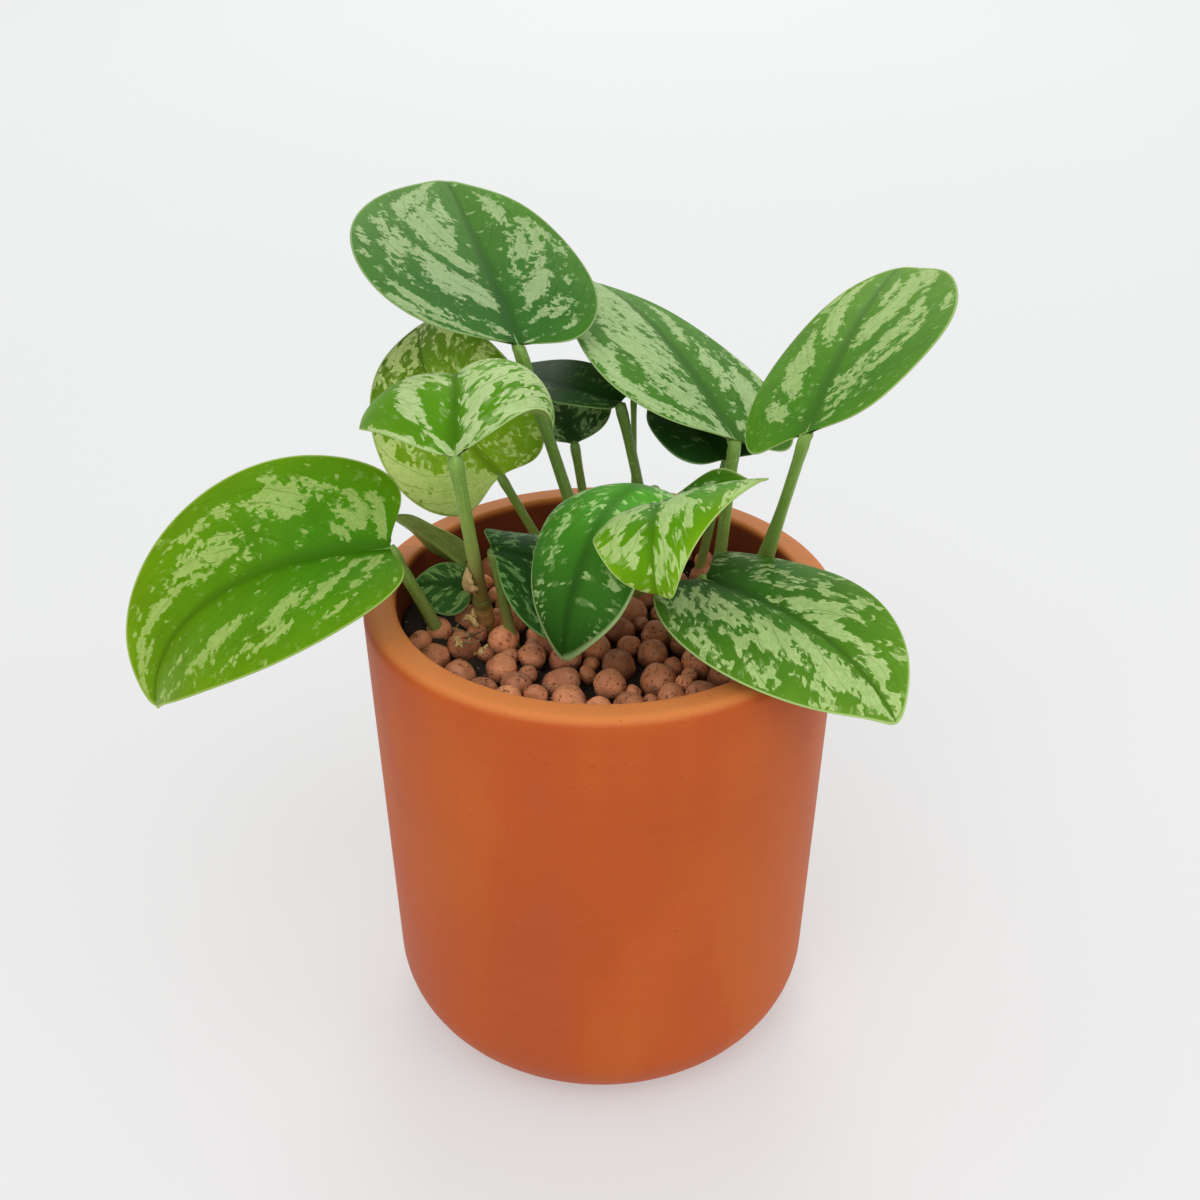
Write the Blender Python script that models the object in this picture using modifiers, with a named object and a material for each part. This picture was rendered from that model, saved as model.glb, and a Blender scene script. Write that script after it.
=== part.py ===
"""Satin pothos (Scindapsus pictus) in its terracotta pot.

Metres, +Z up.  The origin is the centre of the pot's flat underside; the plant's widest leaf points to -X.
Plain lengths in the tables below are millimetres and angles are degrees.
"""
import math
from typing import NamedTuple

import bmesh
import bpy
import numpy as np
from mathutils import Euler, Matrix, Vector

MM = 0.001
GAP = 0.3 * MM
SEED = 41

# Pot
POT_HEIGHT = 149.4
RIM_RADIUS = 70.0
WALL = 9.6
RIM_EDGE = 4.0
RIM_INNER_EDGE = 1.4
FOOT_RADIUS = 65.8
FOOT_FILLET_ACROSS = 24.0
FOOT_FILLET_UP = 25.0
FLOOR_THICKNESS = 12.0
FLOOR_FILLET = 14.0
POT_SIDES = 48

# Soil and clay pebbles
SOIL_TOP = 124.0
BED_THICKNESS = 7.0
PEBBLE_RADII = (3.9, 5.8)
PEBBLE_SIZE_SPREAD = (0.93, 1.05)
PEBBLE_STRETCH = ((0.92, 1.22), (0.90, 1.05), (0.86, 1.00))
PEBBLE_RISE = 4.6        # height of the balls' centres over the bed
PEBBLE_UNEVEN = 1.1
PEBBLE_SINK = 0.25       # large balls sit this share of their radius lower
PEBBLE_SPACING = 0.88
PEBBLE_TRIES = 6000
PEBBLE_SHRINK = 1.6      # the later tries use the smallest balls
PEBBLE_WALL_GAP = 0.6
PEBBLE_FACET = 1.08      # the corners of a twenty-sided ball stand this far out
STEM_CLEARANCE = 0.6
STEM_DEPTH = 16.0
STEM_END_GAP = 1.0
STEM_HOLE_TOP = 150.0
HOLE_SIDES = 10

# Leaves
BLADE_THICKNESS = 0.7
BLADE_ROWS = 14
BLADE_COLUMNS = (-1.0, -0.62, -0.26, 0.0, 0.26, 0.62, 1.0)
STALK_POINTS = 8
STALK_TAPER = 1.6        # a stalk reaches its top radius before its end
OUTLINE_FULLNESS = 0.22  # over 0: the blade is widest nearer its base
OUTLINE_TIP = 0.05
TIP_WIDTH = 0.35
TIP_NARROWING = 0.25
TIP_NARROWING_WIDTH = 0.45
SINUS_WIDTH = 0.42
SINUS_START = 0.97
VEIN_SWEEP = 1.25
MIDRIB_SPACING = 1.35
LIFT_LENGTH = 0.08
WAIST_LENGTH = 0.40
WAVE_PLACE = 0.12
WAVE_SPAN = 0.10
ARC_STEPS = 200


class Leaf(NamedTuple):
    """One leaf: where its blade starts, how it lies, and where its stalk stands in the pot."""

    name: str
    base: tuple          # where the stalk meets the blade
    heading: float       # compass direction of the midrib, from +X towards +Y
    pitch: float         # rise of the midrib at its base
    roll: float          # left side up
    length: float
    widths: tuple        # left half, right half
    droop: float         # how far the midrib turns down by the tip
    folds: tuple         # rise of each half beside the midrib
    curls: tuple         # further turn of each half by its margin
    foot: tuple          # where the stalk's axis crosses the soil, x and y
    stalk: tuple = (2.0, 1.5)   # radii at the foot and at the blade
    bow: tuple = (0.0, 0.0)     # sideways bend of the stalk's middle
    twist: float = 0.0
    lobe: float = 0.10   # how far the heart lobes reach behind the base
    lift: float = 5.0    # rise of the heart lobes
    late: float = 1.6    # over 1: the droop gathers towards the tip
    waist: tuple = (0.0, 0.0)   # narrowing of each half towards the tip, as a share of its width
    waist_from: float = 0.36    # where the narrowing starts, as a share of the blade
    wave: tuple = (0.0, 0.0)    # rise of each margin near the base


LEAVES = (
    Leaf("leaf_crown", (-23.8, 21, 217.4), 107, 17, 8, 91, (43, 30), 6, (14, 10), (-2, -12),
         foot=(1, 33), stalk=(2.1, 1.8), twist=-5, lobe=0.08, lift=4),
    Leaf("leaf_left_upright", (-30.9, 34, 169.5), 164, 46, -88, 64, (27, 28), 83, (11, 12), (1, -13),
         foot=(-10, 41), stalk=(1.9, 1.4), twist=4, lobe=0.14, lift=2),
    Leaf("leaf_saddle", (-38.8, -26, 204.4), 92, 39, 3, 68, (32, 39.5), 163, (9, 45),
         (-73, -142), foot=(-34, 8), stalk=(2.4, 1.9), twist=2, lobe=-0.09, lift=0, wave=(0, 9.5)),
    Leaf("leaf_broad_silver", (39.2, 18, 188.7), 110, 16, 27, 105, (38, 33), 22, (8, 6), (-28, -8),
         foot=(35, 25), stalk=(2.2, 1.8), bow=(0, 1), lobe=0.08),
    Leaf("leaf_far_right", (55.3, -16, 206.5), 69, 17, -26, 92, (29, 36), 16, (0, 11), (-26, 0),
         foot=(45, 27), stalk=(2.8, 1.6), bow=(1, -1), twist=12),
    Leaf("leaf_far_left", (-60, -10, 168), 186, -2, -2, 97, (37, 31), 86, (18, 40), (-39, -5),
         foot=(-45, 2), stalk=(2.3, 1.8), bow=(0, 1), twist=-31, lobe=0.15, lift=1, waist=(0, 0.2)),
    Leaf("leaf_front_right", (29, -15, 161), 329, -3, -13, 70, (30, 35), 49, (18, 11), (-30, -38),
         foot=(26, 1), stalk=(2.1, 1.7), twist=22, lobe=0.18, lift=3),
    Leaf("leaf_front_dark", (15.7, 12, 176.4), 247, 31, -2, 84, (15.5, 23), 128, (-2, 0), (-31, -46),
         foot=(10, 21), stalk=(2.0, 1.6), twist=6, lobe=0.11, late=1.4, waist=(-0.75, 0),
         waist_from=0.46),
    Leaf("leaf_front_curled", (16.5, -28, 191.2), 262, 30, 6, 59, (29, 19), 225, (20, 0), (-24, -44),
         foot=(21, 3), stalk=(1.9, 1.5), bow=(5, -4), twist=6, lobe=0.18, lift=45, late=2.6,
         waist=(0.62, 0), wave=(5.5, 0)),
    Leaf("leaf_middle_back", (5.5, 34, 194), 156, 8, 4, 44, (13, 20), 14, (4, 8), (-6, -10),
         foot=(18, 39), stalk=(2.0, 1.6), bow=(2, 0), lobe=0.08),
    Leaf("leaf_low_back", (-8.3, 42, 177), 104, 22, 4, 44, (21, 15), 24, (8, 20), (-15, -10),
         foot=(-1, 49), stalk=(1.7, 1.4), lobe=0.0, lift=0),
    Leaf("leaf_under_silver", (37.6, 26, 179), 120, 14, 4, 40, (15, 18), 20, (6, 8), (-16, -20),
         foot=(29, 36), stalk=(1.7, 1.3), lobe=0.10, lift=20),
    Leaf("leaf_left_rising", (-42, 14, 150), 170, 38, 48, 26, (13, 13), 10, (12, 12), (-12, -12),
         foot=(-36, 22), stalk=(1.6, 1.2), lobe=0.10),
    Leaf("leaf_left_low", (-39.4, 7, 147), 184, 4, -34, 18, (10, 6.5), 30, (4, 8), (-16, -10),
         foot=(-36, 15), stalk=(1.3, 1.1), twist=-6, lobe=0.10),
    Leaf("leaf_inner_shade", (-31, -10, 168), 18, -24, 6, 47, (20, 27), 10, (4, 2), (-32, -38),
         foot=(-25, -3), stalk=(2.0, 1.5), twist=12, lobe=0.07),
    Leaf("leaf_young_back", (10, 49, 190.5), 80, 6, 0, 27, (9, 10), 12, (8, 8), (-12, -12),
         foot=(11, 51), stalk=(1.1, 0.9), lobe=0.12, lift=0),
)

# Ringed stem that carries the saddle leaf
STEM_LEAF = "leaf_saddle"
STEM_HEIGHT = 25.0
STEM_RADIUS = 3.1
STEM_RING = 0.35
STEM_RINGS = 6
STEM_TAPER = 0.05

POT_COLOUR = (0.56, 0.19, 0.06)
SOIL_COLOUR = (0.030, 0.020, 0.014)
PEBBLE_COLOUR = (0.33, 0.12, 0.07)
LEAF_COLOUR = (0.09, 0.28, 0.05)
STEM_COLOUR = (0.36, 0.27, 0.09)


def clear_scene():
    for old in list(bpy.data.objects):
        bpy.data.objects.remove(old, do_unlink=True)


def make_collection(name):
    found = bpy.data.collections.new(name)
    bpy.context.scene.collection.children.link(found)
    return found


def make_material(name, colour, roughness):
    made = bpy.data.materials.new(name)
    made.use_nodes = True
    shader = made.node_tree.nodes["Principled BSDF"]
    shader.inputs["Base Color"].default_value = (*colour, 1.0)
    shader.inputs["Roughness"].default_value = roughness
    shader.inputs["Metallic"].default_value = 0.0
    return made


def add_object(name, mesh, collection, material=None):
    made = bpy.data.objects.new(name, mesh)
    collection.objects.link(made)
    if material:
        mesh.materials.append(material)
    return made


def make_cutter(made):
    made.hide_render = True
    made.display_type = "WIRE"
    return made


def smooth(mesh, degrees=35.0):
    mesh.shade_smooth()
    mesh.set_sharp_from_angle(angle=math.radians(degrees))


def apply_modifiers(made):
    """Keep the evaluated mesh and drop the modifiers that made it."""
    graph = bpy.context.evaluated_depsgraph_get()
    solid = bpy.data.meshes.new_from_object(made.evaluated_get(graph))
    made.modifiers.clear()
    made.data = solid


def boolean(made, operation, other, solver="EXACT"):
    """Cut or join with one object or with every object of a collection."""
    step = made.modifiers.new(operation.lower(), "BOOLEAN")
    step.operation = operation
    step.solver = solver
    if isinstance(other, bpy.types.Collection):
        step.operand_type = "COLLECTION"
        step.collection = other
    else:
        step.object = other
    apply_modifiers(made)


def drop_scraps(made):
    """Keep the largest body of a mesh; a crumb that a drill has cut free goes."""
    body = bmesh.new()
    body.from_mesh(made.data)
    left, largest = set(body.verts), set()
    while left:
        island, edge = set(), [left.pop()]
        while edge:
            vertex = edge.pop()
            island.add(vertex)
            near = {link.other_vert(vertex) for link in vertex.link_edges} & left
            left -= near
            edge.extend(near)
        largest = max(largest, island, key=len)
    bmesh.ops.delete(body, geom=[v for v in body.verts if v not in largest], context="VERTS")
    body.to_mesh(made.data)
    body.free()


def drop(*objects):
    for old in objects:
        bpy.data.objects.remove(old, do_unlink=True)


def turned(name, profile, collection, material, sides):
    """A solid of revolution about +Z from a profile of (radius, height) in millimetres."""
    mesh = bpy.data.meshes.new(name)
    points = [(radius * MM, 0.0, height * MM) for radius, height in profile]
    mesh.from_pydata(points, [(i, i + 1) for i in range(len(points) - 1)], [])
    made = add_object(name, mesh, collection, material)
    screw = made.modifiers.new("turn", "SCREW")
    screw.axis = "Z"
    screw.steps = screw.render_steps = sides
    screw.use_merge_vertices = True
    screw.merge_threshold = 0.00001
    apply_modifiers(made)
    smooth(made.data)
    return made


def quarter(centre, across, up, start, steps):
    """Points of a quarter ellipse from the start angle in degrees, turning clockwise."""
    angles = [math.radians(start - 90.0 * i / steps) for i in range(steps + 1)]
    return [(centre[0] + across * math.cos(a), centre[1] + up * math.sin(a)) for a in angles]


def inner_radius(height):
    """Inner wall radius of the pot at a height; the wall keeps one thickness."""
    share = (height - FOOT_FILLET_UP) / (POT_HEIGHT - FOOT_FILLET_UP)
    return FOOT_RADIUS + (RIM_RADIUS - FOOT_RADIUS) * share - WALL


def floor_curve(clearance):
    """The inner floor and its fillet, from the axis outwards, this far inside the clay."""
    floor = FLOOR_THICKNESS + clearance
    corner_height = FLOOR_THICKNESS + FLOOR_FILLET
    radius = inner_radius(corner_height) - clearance
    centre = (radius - FLOOR_FILLET, floor + FLOOR_FILLET)
    arc = quarter(centre, FLOOR_FILLET, FLOOR_FILLET, 0.0, 3)
    return [(0.0, floor)] + arc[::-1]


def pot_profile():
    top = POT_HEIGHT
    inside = inner_radius(top)
    lip = quarter((inside + RIM_INNER_EDGE, top - RIM_INNER_EDGE), RIM_INNER_EDGE, RIM_INNER_EDGE, 180.0, 2)
    shoulder = quarter((RIM_RADIUS - RIM_EDGE, top - RIM_EDGE), RIM_EDGE, RIM_EDGE, 90.0, 4)
    foot_centre = (FOOT_RADIUS - FOOT_FILLET_ACROSS, FOOT_FILLET_UP)
    foot = quarter(foot_centre, FOOT_FILLET_ACROSS, FOOT_FILLET_UP, 0.0, 6)
    return floor_curve(0.0) + lip + shoulder + foot + [(0.0, 0.0)]


def build_pot(collection):
    material = make_material("terracotta", POT_COLOUR, 0.55)
    return turned("pot", pot_profile(), collection, material, POT_SIDES)


def tube(name, points, radii, collection, material=None, resolution=2):
    """A round tube along a polyline in metres, closed at both ends, as a mesh."""
    curve = bpy.data.curves.new(name, "CURVE")
    curve.dimensions = "3D"
    curve.bevel_depth = MM
    curve.bevel_resolution = resolution
    curve.use_fill_caps = True
    spline = curve.splines.new("POLY")
    spline.points.add(len(points) - 1)
    for spot, point, radius in zip(spline.points, points, radii):
        spot.co = (*point, 1.0)
        spot.radius = radius
    guide = bpy.data.objects.new(name + "_guide", curve)
    collection.objects.link(guide)
    graph = bpy.context.evaluated_depsgraph_get()
    mesh = bpy.data.meshes.new_from_object(guide.evaluated_get(graph))
    drop(guide)
    weld = bmesh.new()
    weld.from_mesh(mesh)
    bmesh.ops.remove_doubles(weld, verts=weld.verts, dist=0.00001)
    bmesh.ops.recalc_face_normals(weld, faces=weld.faces)
    weld.to_mesh(mesh)
    weld.free()
    mesh.name = name
    mesh.shade_smooth()
    return add_object(name, mesh, collection, material)


def stalk_curve(leaf):
    """Foot, middle and top of the stalk's quadratic curve, in millimetres."""
    foot = Vector((*leaf.foot, SOIL_TOP))
    top = Vector(leaf.base)
    middle = (foot + top) / 2 + Vector((*leaf.bow, 0.0))
    return foot, middle, top


def stalk_direction(leaf):
    foot, middle, _ = stalk_curve(leaf)
    return (middle - foot).normalized()


def stalk_points(leaf):
    """The stalk's axis from inside the soil, or from the ringed stem, up to the blade, with its radii."""
    foot, middle, top = stalk_curve(leaf)
    along = stalk_direction(leaf)
    total = (top - foot).length
    start = STEM_HEIGHT + GAP / MM if leaf.name == STEM_LEAF else -STEM_DEPTH
    points, radii = [], []
    first = start / total if start > 0 else 0.0
    for i in range(STALK_POINTS):
        s = first + (1.0 - first) * i / (STALK_POINTS - 1)
        points.append((1 - s) ** 2 * foot + 2 * s * (1 - s) * middle + s ** 2 * top)
        radii.append(leaf.stalk[0] + (leaf.stalk[1] - leaf.stalk[0]) * min(1.0, STALK_TAPER * s))
    if start < 0:
        points.insert(0, foot + along * start)
        radii.insert(0, leaf.stalk[0])
    else:
        points[0] = foot + along * start
    return [tuple(point * MM) for point in points], radii


def outline(theta, lobe):
    """Half outline of a heart-shaped blade; theta runs from pi at the sinus to 0 at the tip."""
    centre, reach = (1 - lobe) / 2, (1 + lobe) / 2
    along = centre + reach * np.cos(theta) + lobe * np.exp(-((np.pi - theta) / SINUS_WIDTH) ** 2)
    along = (along + OUTLINE_TIP * np.exp(-(theta / TIP_WIDTH) ** 2)) / (1 + OUTLINE_TIP)
    across = np.sin(theta) * (1 - OUTLINE_FULLNESS * np.cos(theta))
    return along, across * (1 - TIP_NARROWING * np.exp(-(theta / TIP_NARROWING_WIDTH) ** 2))


def arc_table(turn, length):
    """Distances along and off a line whose direction is turn(s), for s from 0 to length."""
    s = np.linspace(0.0, length, ARC_STEPS)
    angle = turn((s[1:] + s[:-1]) / 2)
    step = s[1] - s[0]
    run = np.concatenate([[0.0], np.cumsum(np.cos(angle))]) * step
    rise = np.concatenate([[0.0], np.cumsum(np.sin(angle))]) * step
    return s, run, rise


def blade_points(leaf, rows, columns):
    """Middle surface of the blade in millimetres: rows run from the base to the tip, columns across."""
    u = np.linspace(0.0, 1.0, rows)
    margin_x, margin_y = outline(np.pi * SINUS_START * (1 - u), leaf.lobe)
    rib = u ** MIDRIB_SPACING
    t = np.asarray(columns)[None, :]
    out = np.abs(t)
    x = rib[:, None] + (margin_x - rib)[:, None] * out ** VEIN_SWEEP
    y = margin_y[:, None] * out
    left = t >= 0
    width = np.where(left, *leaf.widths)
    fold = np.radians(np.where(left, *leaf.folds))
    curl = np.radians(np.where(left, *leaf.curls))
    curl = np.where(np.abs(curl) < 1e-3, 1e-3, curl)
    late_share = (1 - np.cos(np.pi * np.clip((u - leaf.waist_from) / WAIST_LENGTH, 0, 1))) / 2
    width = width * (1 - np.where(left, *leaf.waist) * late_share[:, None])
    side = width * (np.sin(fold + curl * y) - np.sin(fold)) / curl * np.where(left, 1, -1)
    rise = width * (np.cos(fold) - np.cos(fold + curl * y)) / curl
    near_base = np.exp(-(((u - WAVE_PLACE) / WAVE_SPAN) ** 2))[:, None]
    rise = rise + np.where(left, *leaf.wave) * out ** 2 * near_base

    droop, lift = math.radians(leaf.droop), math.radians(leaf.lift)
    ahead, behind = np.maximum(x, 0.0), np.maximum(-x, 0.0)
    s, run, fall = arc_table(lambda v: -droop * v ** leaf.late, 1.1)
    s_back, run_back, rise_back = arc_table(lambda v: lift * (1 - np.exp(-v / LIFT_LENGTH)), 0.4)
    bend = -droop * ahead ** leaf.late - lift * (1 - np.exp(-behind / LIFT_LENGTH))
    rib_x = leaf.length * (np.interp(ahead, s, run) - np.interp(behind, s_back, run_back))
    rib_z = leaf.length * (np.interp(ahead, s, fall) + np.interp(behind, s_back, rise_back))

    twist = math.radians(leaf.twist) * x
    side, rise = side * np.cos(twist) - rise * np.sin(twist), side * np.sin(twist) + rise * np.cos(twist)
    local = np.stack([rib_x - rise * np.sin(bend), side, rib_z + rise * np.cos(bend)], -1)
    turn = (
        Matrix.Rotation(math.radians(leaf.heading), 3, "Z")
        @ Matrix.Rotation(-math.radians(leaf.pitch), 3, "Y")
        @ Matrix.Rotation(math.radians(leaf.roll), 3, "X")
    )
    return local @ np.array(turn).T + np.array(leaf.base)


def build_blade(leaf, collection, material):
    """The blade as an open sheet of triangles, thickened the same on both faces."""
    grid = blade_points(leaf, BLADE_ROWS, BLADE_COLUMNS) * MM
    sheet = bmesh.new()
    rows = [[sheet.verts.new(point) for point in row] for row in grid[:-1]]
    tip = sheet.verts.new(grid[-1, len(BLADE_COLUMNS) // 2])
    for lower, upper in zip(rows, rows[1:]):
        for i in range(len(lower) - 1):
            sheet.faces.new((lower[i], upper[i], upper[i + 1], lower[i + 1]))
    for a, b in zip(rows[-1], rows[-1][1:]):
        sheet.faces.new((a, tip, b))
    bmesh.ops.triangulate(sheet, faces=sheet.faces)
    mesh = bpy.data.meshes.new(leaf.name)
    sheet.to_mesh(mesh)
    sheet.free()
    made = add_object(leaf.name, mesh, collection, material)
    shell = made.modifiers.new("thickness", "SOLIDIFY")
    shell.thickness = BLADE_THICKNESS * MM
    shell.offset = 0.0
    shell.use_rim = True
    apply_modifiers(made)
    return made


def build_leaf(leaf, collection, cutters, material):
    """A blade grown together with its stalk."""
    made = build_blade(leaf, collection, material)
    points, radii = stalk_points(leaf)
    stalk = tube(leaf.name + "_stalk", points, radii, cutters)
    boolean(made, "UNION", stalk)
    drop(stalk)
    made.data.shade_smooth()
    return made


def build_stem(leaf, collection, material):
    """The short ringed stem under the saddle leaf, in line with that leaf's stalk."""
    foot, _, _ = stalk_curve(leaf)
    along = stalk_direction(leaf)
    points, radii = [foot - along * STEM_DEPTH], [STEM_RADIUS]
    for i in range(2 * STEM_RINGS + 1):
        points.append(foot + along * (STEM_HEIGHT * i / (2 * STEM_RINGS)))
        radii.append(STEM_RADIUS - STEM_TAPER * i + (STEM_RING if i % 2 else 0.0))
    return tube("stem_ringed", [tuple(point * MM) for point in points], radii, collection, material)


def stem_holes(collection):
    """One straight drill for each stalk, in line with its foot, a little wider than the stalk."""
    holes = []
    for leaf in LEAVES:
        foot, _, _ = stalk_curve(leaf)
        along = stalk_direction(leaf)
        stem = STEM_RADIUS + STEM_RING if leaf.name == STEM_LEAF else leaf.stalk[0]
        radius = (stem + STEM_CLEARANCE) * MM
        low = foot - along * (STEM_DEPTH + STEM_END_GAP)
        high = foot + along * ((STEM_HOLE_TOP - SOIL_TOP) / along.z)
        drill = bmesh.new()
        bmesh.ops.create_cone(
            drill, cap_ends=True, segments=HOLE_SIDES, radius1=radius, radius2=radius,
            depth=(high - low).length * MM,
        )
        mesh = bpy.data.meshes.new("hole_" + leaf.name)
        drill.to_mesh(mesh)
        drill.free()
        made = make_cutter(add_object("hole_" + leaf.name, mesh, collection))
        made.matrix_world = (
            Matrix.Translation((low + high) / 2 * MM) @ along.to_track_quat("Z", "Y").to_matrix().to_4x4()
        )
        holes.append(made)
    return holes


def cut_holes(made, holes):
    for hole in holes:
        boolean(made, "DIFFERENCE", hole)


def build_soil(collection, holes):
    """Potting soil that fills the pot up to the pebbles, with a plain hole for each stalk."""
    clearance = GAP / MM
    top_radius = inner_radius(SOIL_TOP) - clearance
    profile = [(0.0, SOIL_TOP), (top_radius, SOIL_TOP)] + floor_curve(clearance)[::-1]
    material = make_material("potting_soil", SOIL_COLOUR, 0.95)
    made = turned("potting_soil", profile, collection, material, POT_SIDES)
    cut_holes(made, holes)
    return made


def pebble_places():
    """Seeded places and sizes for one close layer of pebbles inside the wall."""
    draw = np.random.default_rng(SEED)
    placed = []
    for attempt in range(PEBBLE_TRIES):
        small, large = PEBBLE_RADII
        size = large - (large - small) * min(1.0, PEBBLE_SHRINK * attempt / PEBBLE_TRIES)
        size *= draw.uniform(*PEBBLE_SIZE_SPREAD)
        reach = inner_radius(SOIL_TOP) - size - PEBBLE_WALL_GAP
        radius, angle = reach * math.sqrt(draw.random()), draw.uniform(0, 2 * math.pi)
        x, y = radius * math.cos(angle), radius * math.sin(angle)
        if all(math.hypot(x - px, y - py) > PEBBLE_SPACING * (size + ps) for px, py, ps in placed):
            placed.append((x, y, size))
    return placed, draw


def build_pebbles(collection, cutters, holes):
    """A close layer of clay pebbles, fused where they touch and to the thin bed that they lie on."""
    material = make_material("clay_pebbles", PEBBLE_COLOUR, 0.85)
    low = SOIL_TOP + GAP / MM
    high = low + BED_THICKNESS
    radius = inner_radius(SOIL_TOP) - GAP / MM
    profile = [(0.0, high), (radius, high), (radius, low), (0.0, low)]
    made = turned("clay_pebbles", profile, collection, material, POT_SIDES)
    places, draw = pebble_places()
    heap = bpy.data.collections.new("pebble_heap")
    cutters.children.link(heap)
    for i, (x, y, size) in enumerate(places):
        ball = bmesh.new()
        bmesh.ops.create_icosphere(ball, subdivisions=1, radius=size * PEBBLE_FACET * MM)
        mesh = bpy.data.meshes.new(f"pebble_{i}")
        ball.to_mesh(mesh)
        ball.free()
        pebble = add_object(f"pebble_{i}", mesh, heap)
        stretch = Vector([draw.uniform(*span) for span in PEBBLE_STRETCH])
        spin = Euler([draw.uniform(0, 2 * math.pi) for _ in range(3)])
        rise = high + PEBBLE_RISE + draw.uniform(-PEBBLE_UNEVEN, PEBBLE_UNEVEN) - size * PEBBLE_SINK
        pebble.matrix_world = (
            Matrix.Translation(Vector((x, y, rise)) * MM)
            @ spin.to_matrix().to_4x4()
            @ Matrix.Diagonal(stretch).to_4x4()
        )
    bpy.context.view_layer.update()
    boolean(made, "UNION", heap)
    drop(*heap.objects)
    bpy.data.collections.remove(heap)
    cut_holes(made, holes)
    drop_scraps(made)
    made.data.shade_smooth()
    return made


def main():
    clear_scene()
    parts = make_collection("satin_pothos")
    cutters = make_collection("cutters")
    green = make_material("leaf", LEAF_COLOUR, 0.45)
    holes = stem_holes(cutters)
    bpy.context.view_layer.update()
    build_pot(parts)
    build_soil(parts, holes)
    build_pebbles(parts, cutters, holes)
    for leaf in LEAVES:
        build_leaf(leaf, parts, cutters, green)
        if leaf.name == STEM_LEAF:
            build_stem(leaf, parts, make_material("stem", STEM_COLOUR, 0.7))


main()
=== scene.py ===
"""Satin pothos in its terracotta pot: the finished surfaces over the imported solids.

Metres, +Z up; the origin is the centre of the pot's flat underside.
Lengths in the leaf, pot and pebble tables are millimetres and angles are degrees, as in the solids' source.
"""

import math
from typing import NamedTuple

import bmesh
import bpy
import numpy as np
from bpy.props import FloatProperty, FloatVectorProperty, IntProperty, PointerProperty
from bpy.types import Operator, Panel, PropertyGroup
from mathutils import Euler, Matrix, Vector, noise


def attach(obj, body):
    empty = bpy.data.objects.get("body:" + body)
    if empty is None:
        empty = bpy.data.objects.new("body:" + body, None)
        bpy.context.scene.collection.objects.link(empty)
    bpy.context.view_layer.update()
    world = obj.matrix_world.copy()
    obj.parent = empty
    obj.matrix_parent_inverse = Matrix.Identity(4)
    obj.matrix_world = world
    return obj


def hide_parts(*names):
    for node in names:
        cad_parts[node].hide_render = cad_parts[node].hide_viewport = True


bl_info = {
    "name": "Satin pothos in a terracotta pot",
    "version": (1, 0, 0),
    "blender": (4, 5, 0),
    "location": "3D View > Sidebar > Pothos",
    "description": "Builds the leaves, stalks, pebbles, soil and pot of one potted satin pothos",
    "category": "Object",
}

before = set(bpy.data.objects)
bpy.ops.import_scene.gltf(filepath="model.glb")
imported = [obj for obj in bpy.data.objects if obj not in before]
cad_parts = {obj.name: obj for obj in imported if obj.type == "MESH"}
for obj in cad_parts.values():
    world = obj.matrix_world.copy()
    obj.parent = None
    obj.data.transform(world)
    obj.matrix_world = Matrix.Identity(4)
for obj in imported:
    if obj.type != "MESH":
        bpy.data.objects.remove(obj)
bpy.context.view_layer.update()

MM = 0.001
SEED = 41

# Pot: the sizes down to the floor's fillet are those of its solid
POT_HEIGHT = 149.4
RIM_RADIUS = 70.0
WALL = 9.6
RIM_EDGE = 4.0
RIM_INNER_EDGE = 1.4
FOOT_RADIUS = 65.8
FOOT_FILLET_ACROSS = 24.0
FOOT_FILLET_UP = 25.0
FLOOR_THICKNESS = 12.0
FLOOR_FILLET = 14.0
POT_STEPS = (6, 8, 5, 10, 16, 14)    # how finely the bowl, wall, lip, shoulder, side and foot are divided
MOUTH_SHADE_SPAN = (0.3, 2.2)     # where the painted shade inside the pot starts: how far under the rim, and over what height it grows
MOUTH_REACH = 0.9                # and how far out from the wall over the lip

# Soil and clay pebbles: the sizes down to the wall gap are those of their solids
SOIL_TOP = 124.0
BED_THICKNESS = 7.0
PEBBLE_RADII = (3.9, 5.8)
PEBBLE_SIZE_SPREAD = (0.93, 1.05)
PEBBLE_STRETCH = ((0.92, 1.22), (0.90, 1.05), (0.86, 1.00))
PEBBLE_RISE = 4.6
PEBBLE_UNEVEN = 1.1
PEBBLE_SINK = 0.25
PEBBLE_SPACING = 0.88
PEBBLE_TRIES = 6000
PEBBLE_SHRINK = 1.6
PEBBLE_WALL_GAP = 0.6
SOIL_BETWEEN = 6.0       # the soil between the pebbles lies this far over the solid's top
PEBBLE_SHARE = 0.85      # a pebble's size as a share of its solid's
FILLING_RADII = (2.4, 3.7)
FILLING_SPACING = 0.91
FILLING_SINK = 0.8
FILLING_TRIES = 5000
PEBBLE_SPLITS = 4        # how often a ball's faces are divided
PEBBLE_GROUPS = 3
PEBBLE_BUMPS = ((1.3, 1.2), (0.5, 3.4))     # strength and fineness of each
PEBBLE_SHIFT = 3.1
PEBBLE_TONE = (1.3, 2.7, 0.5)               # strength, fineness and middle
PEBBLE_SHADE_BELOW = (0.40, 0.80)                  # painted shade on each pebble's lower part: its start over the middle and its run down, as shares of the radius
SOIL_BANKS = ((-55, 6, 8.0, 14), (-39, -8, 5.0, 7))   # place, height and reach of the soil's raised spots
SOIL_PLAY = 0.35         # gap between the soil and the wall
SOIL_FLOOR_PLAY = 0.3
SOIL_LIFT = 0.3          # keeps most of the crumbs over the soil's level
SOIL_CRUMB = (0.9, 0.42)         # height and fineness
SOIL_CRUMB_ON_BANK = 0.06
SOIL_FRACTAL = (0.8, 2.1, 4)     # roughness, lacunarity and octaves
SOIL_RINGS, SOIL_SIDES = 44, 120

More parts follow.
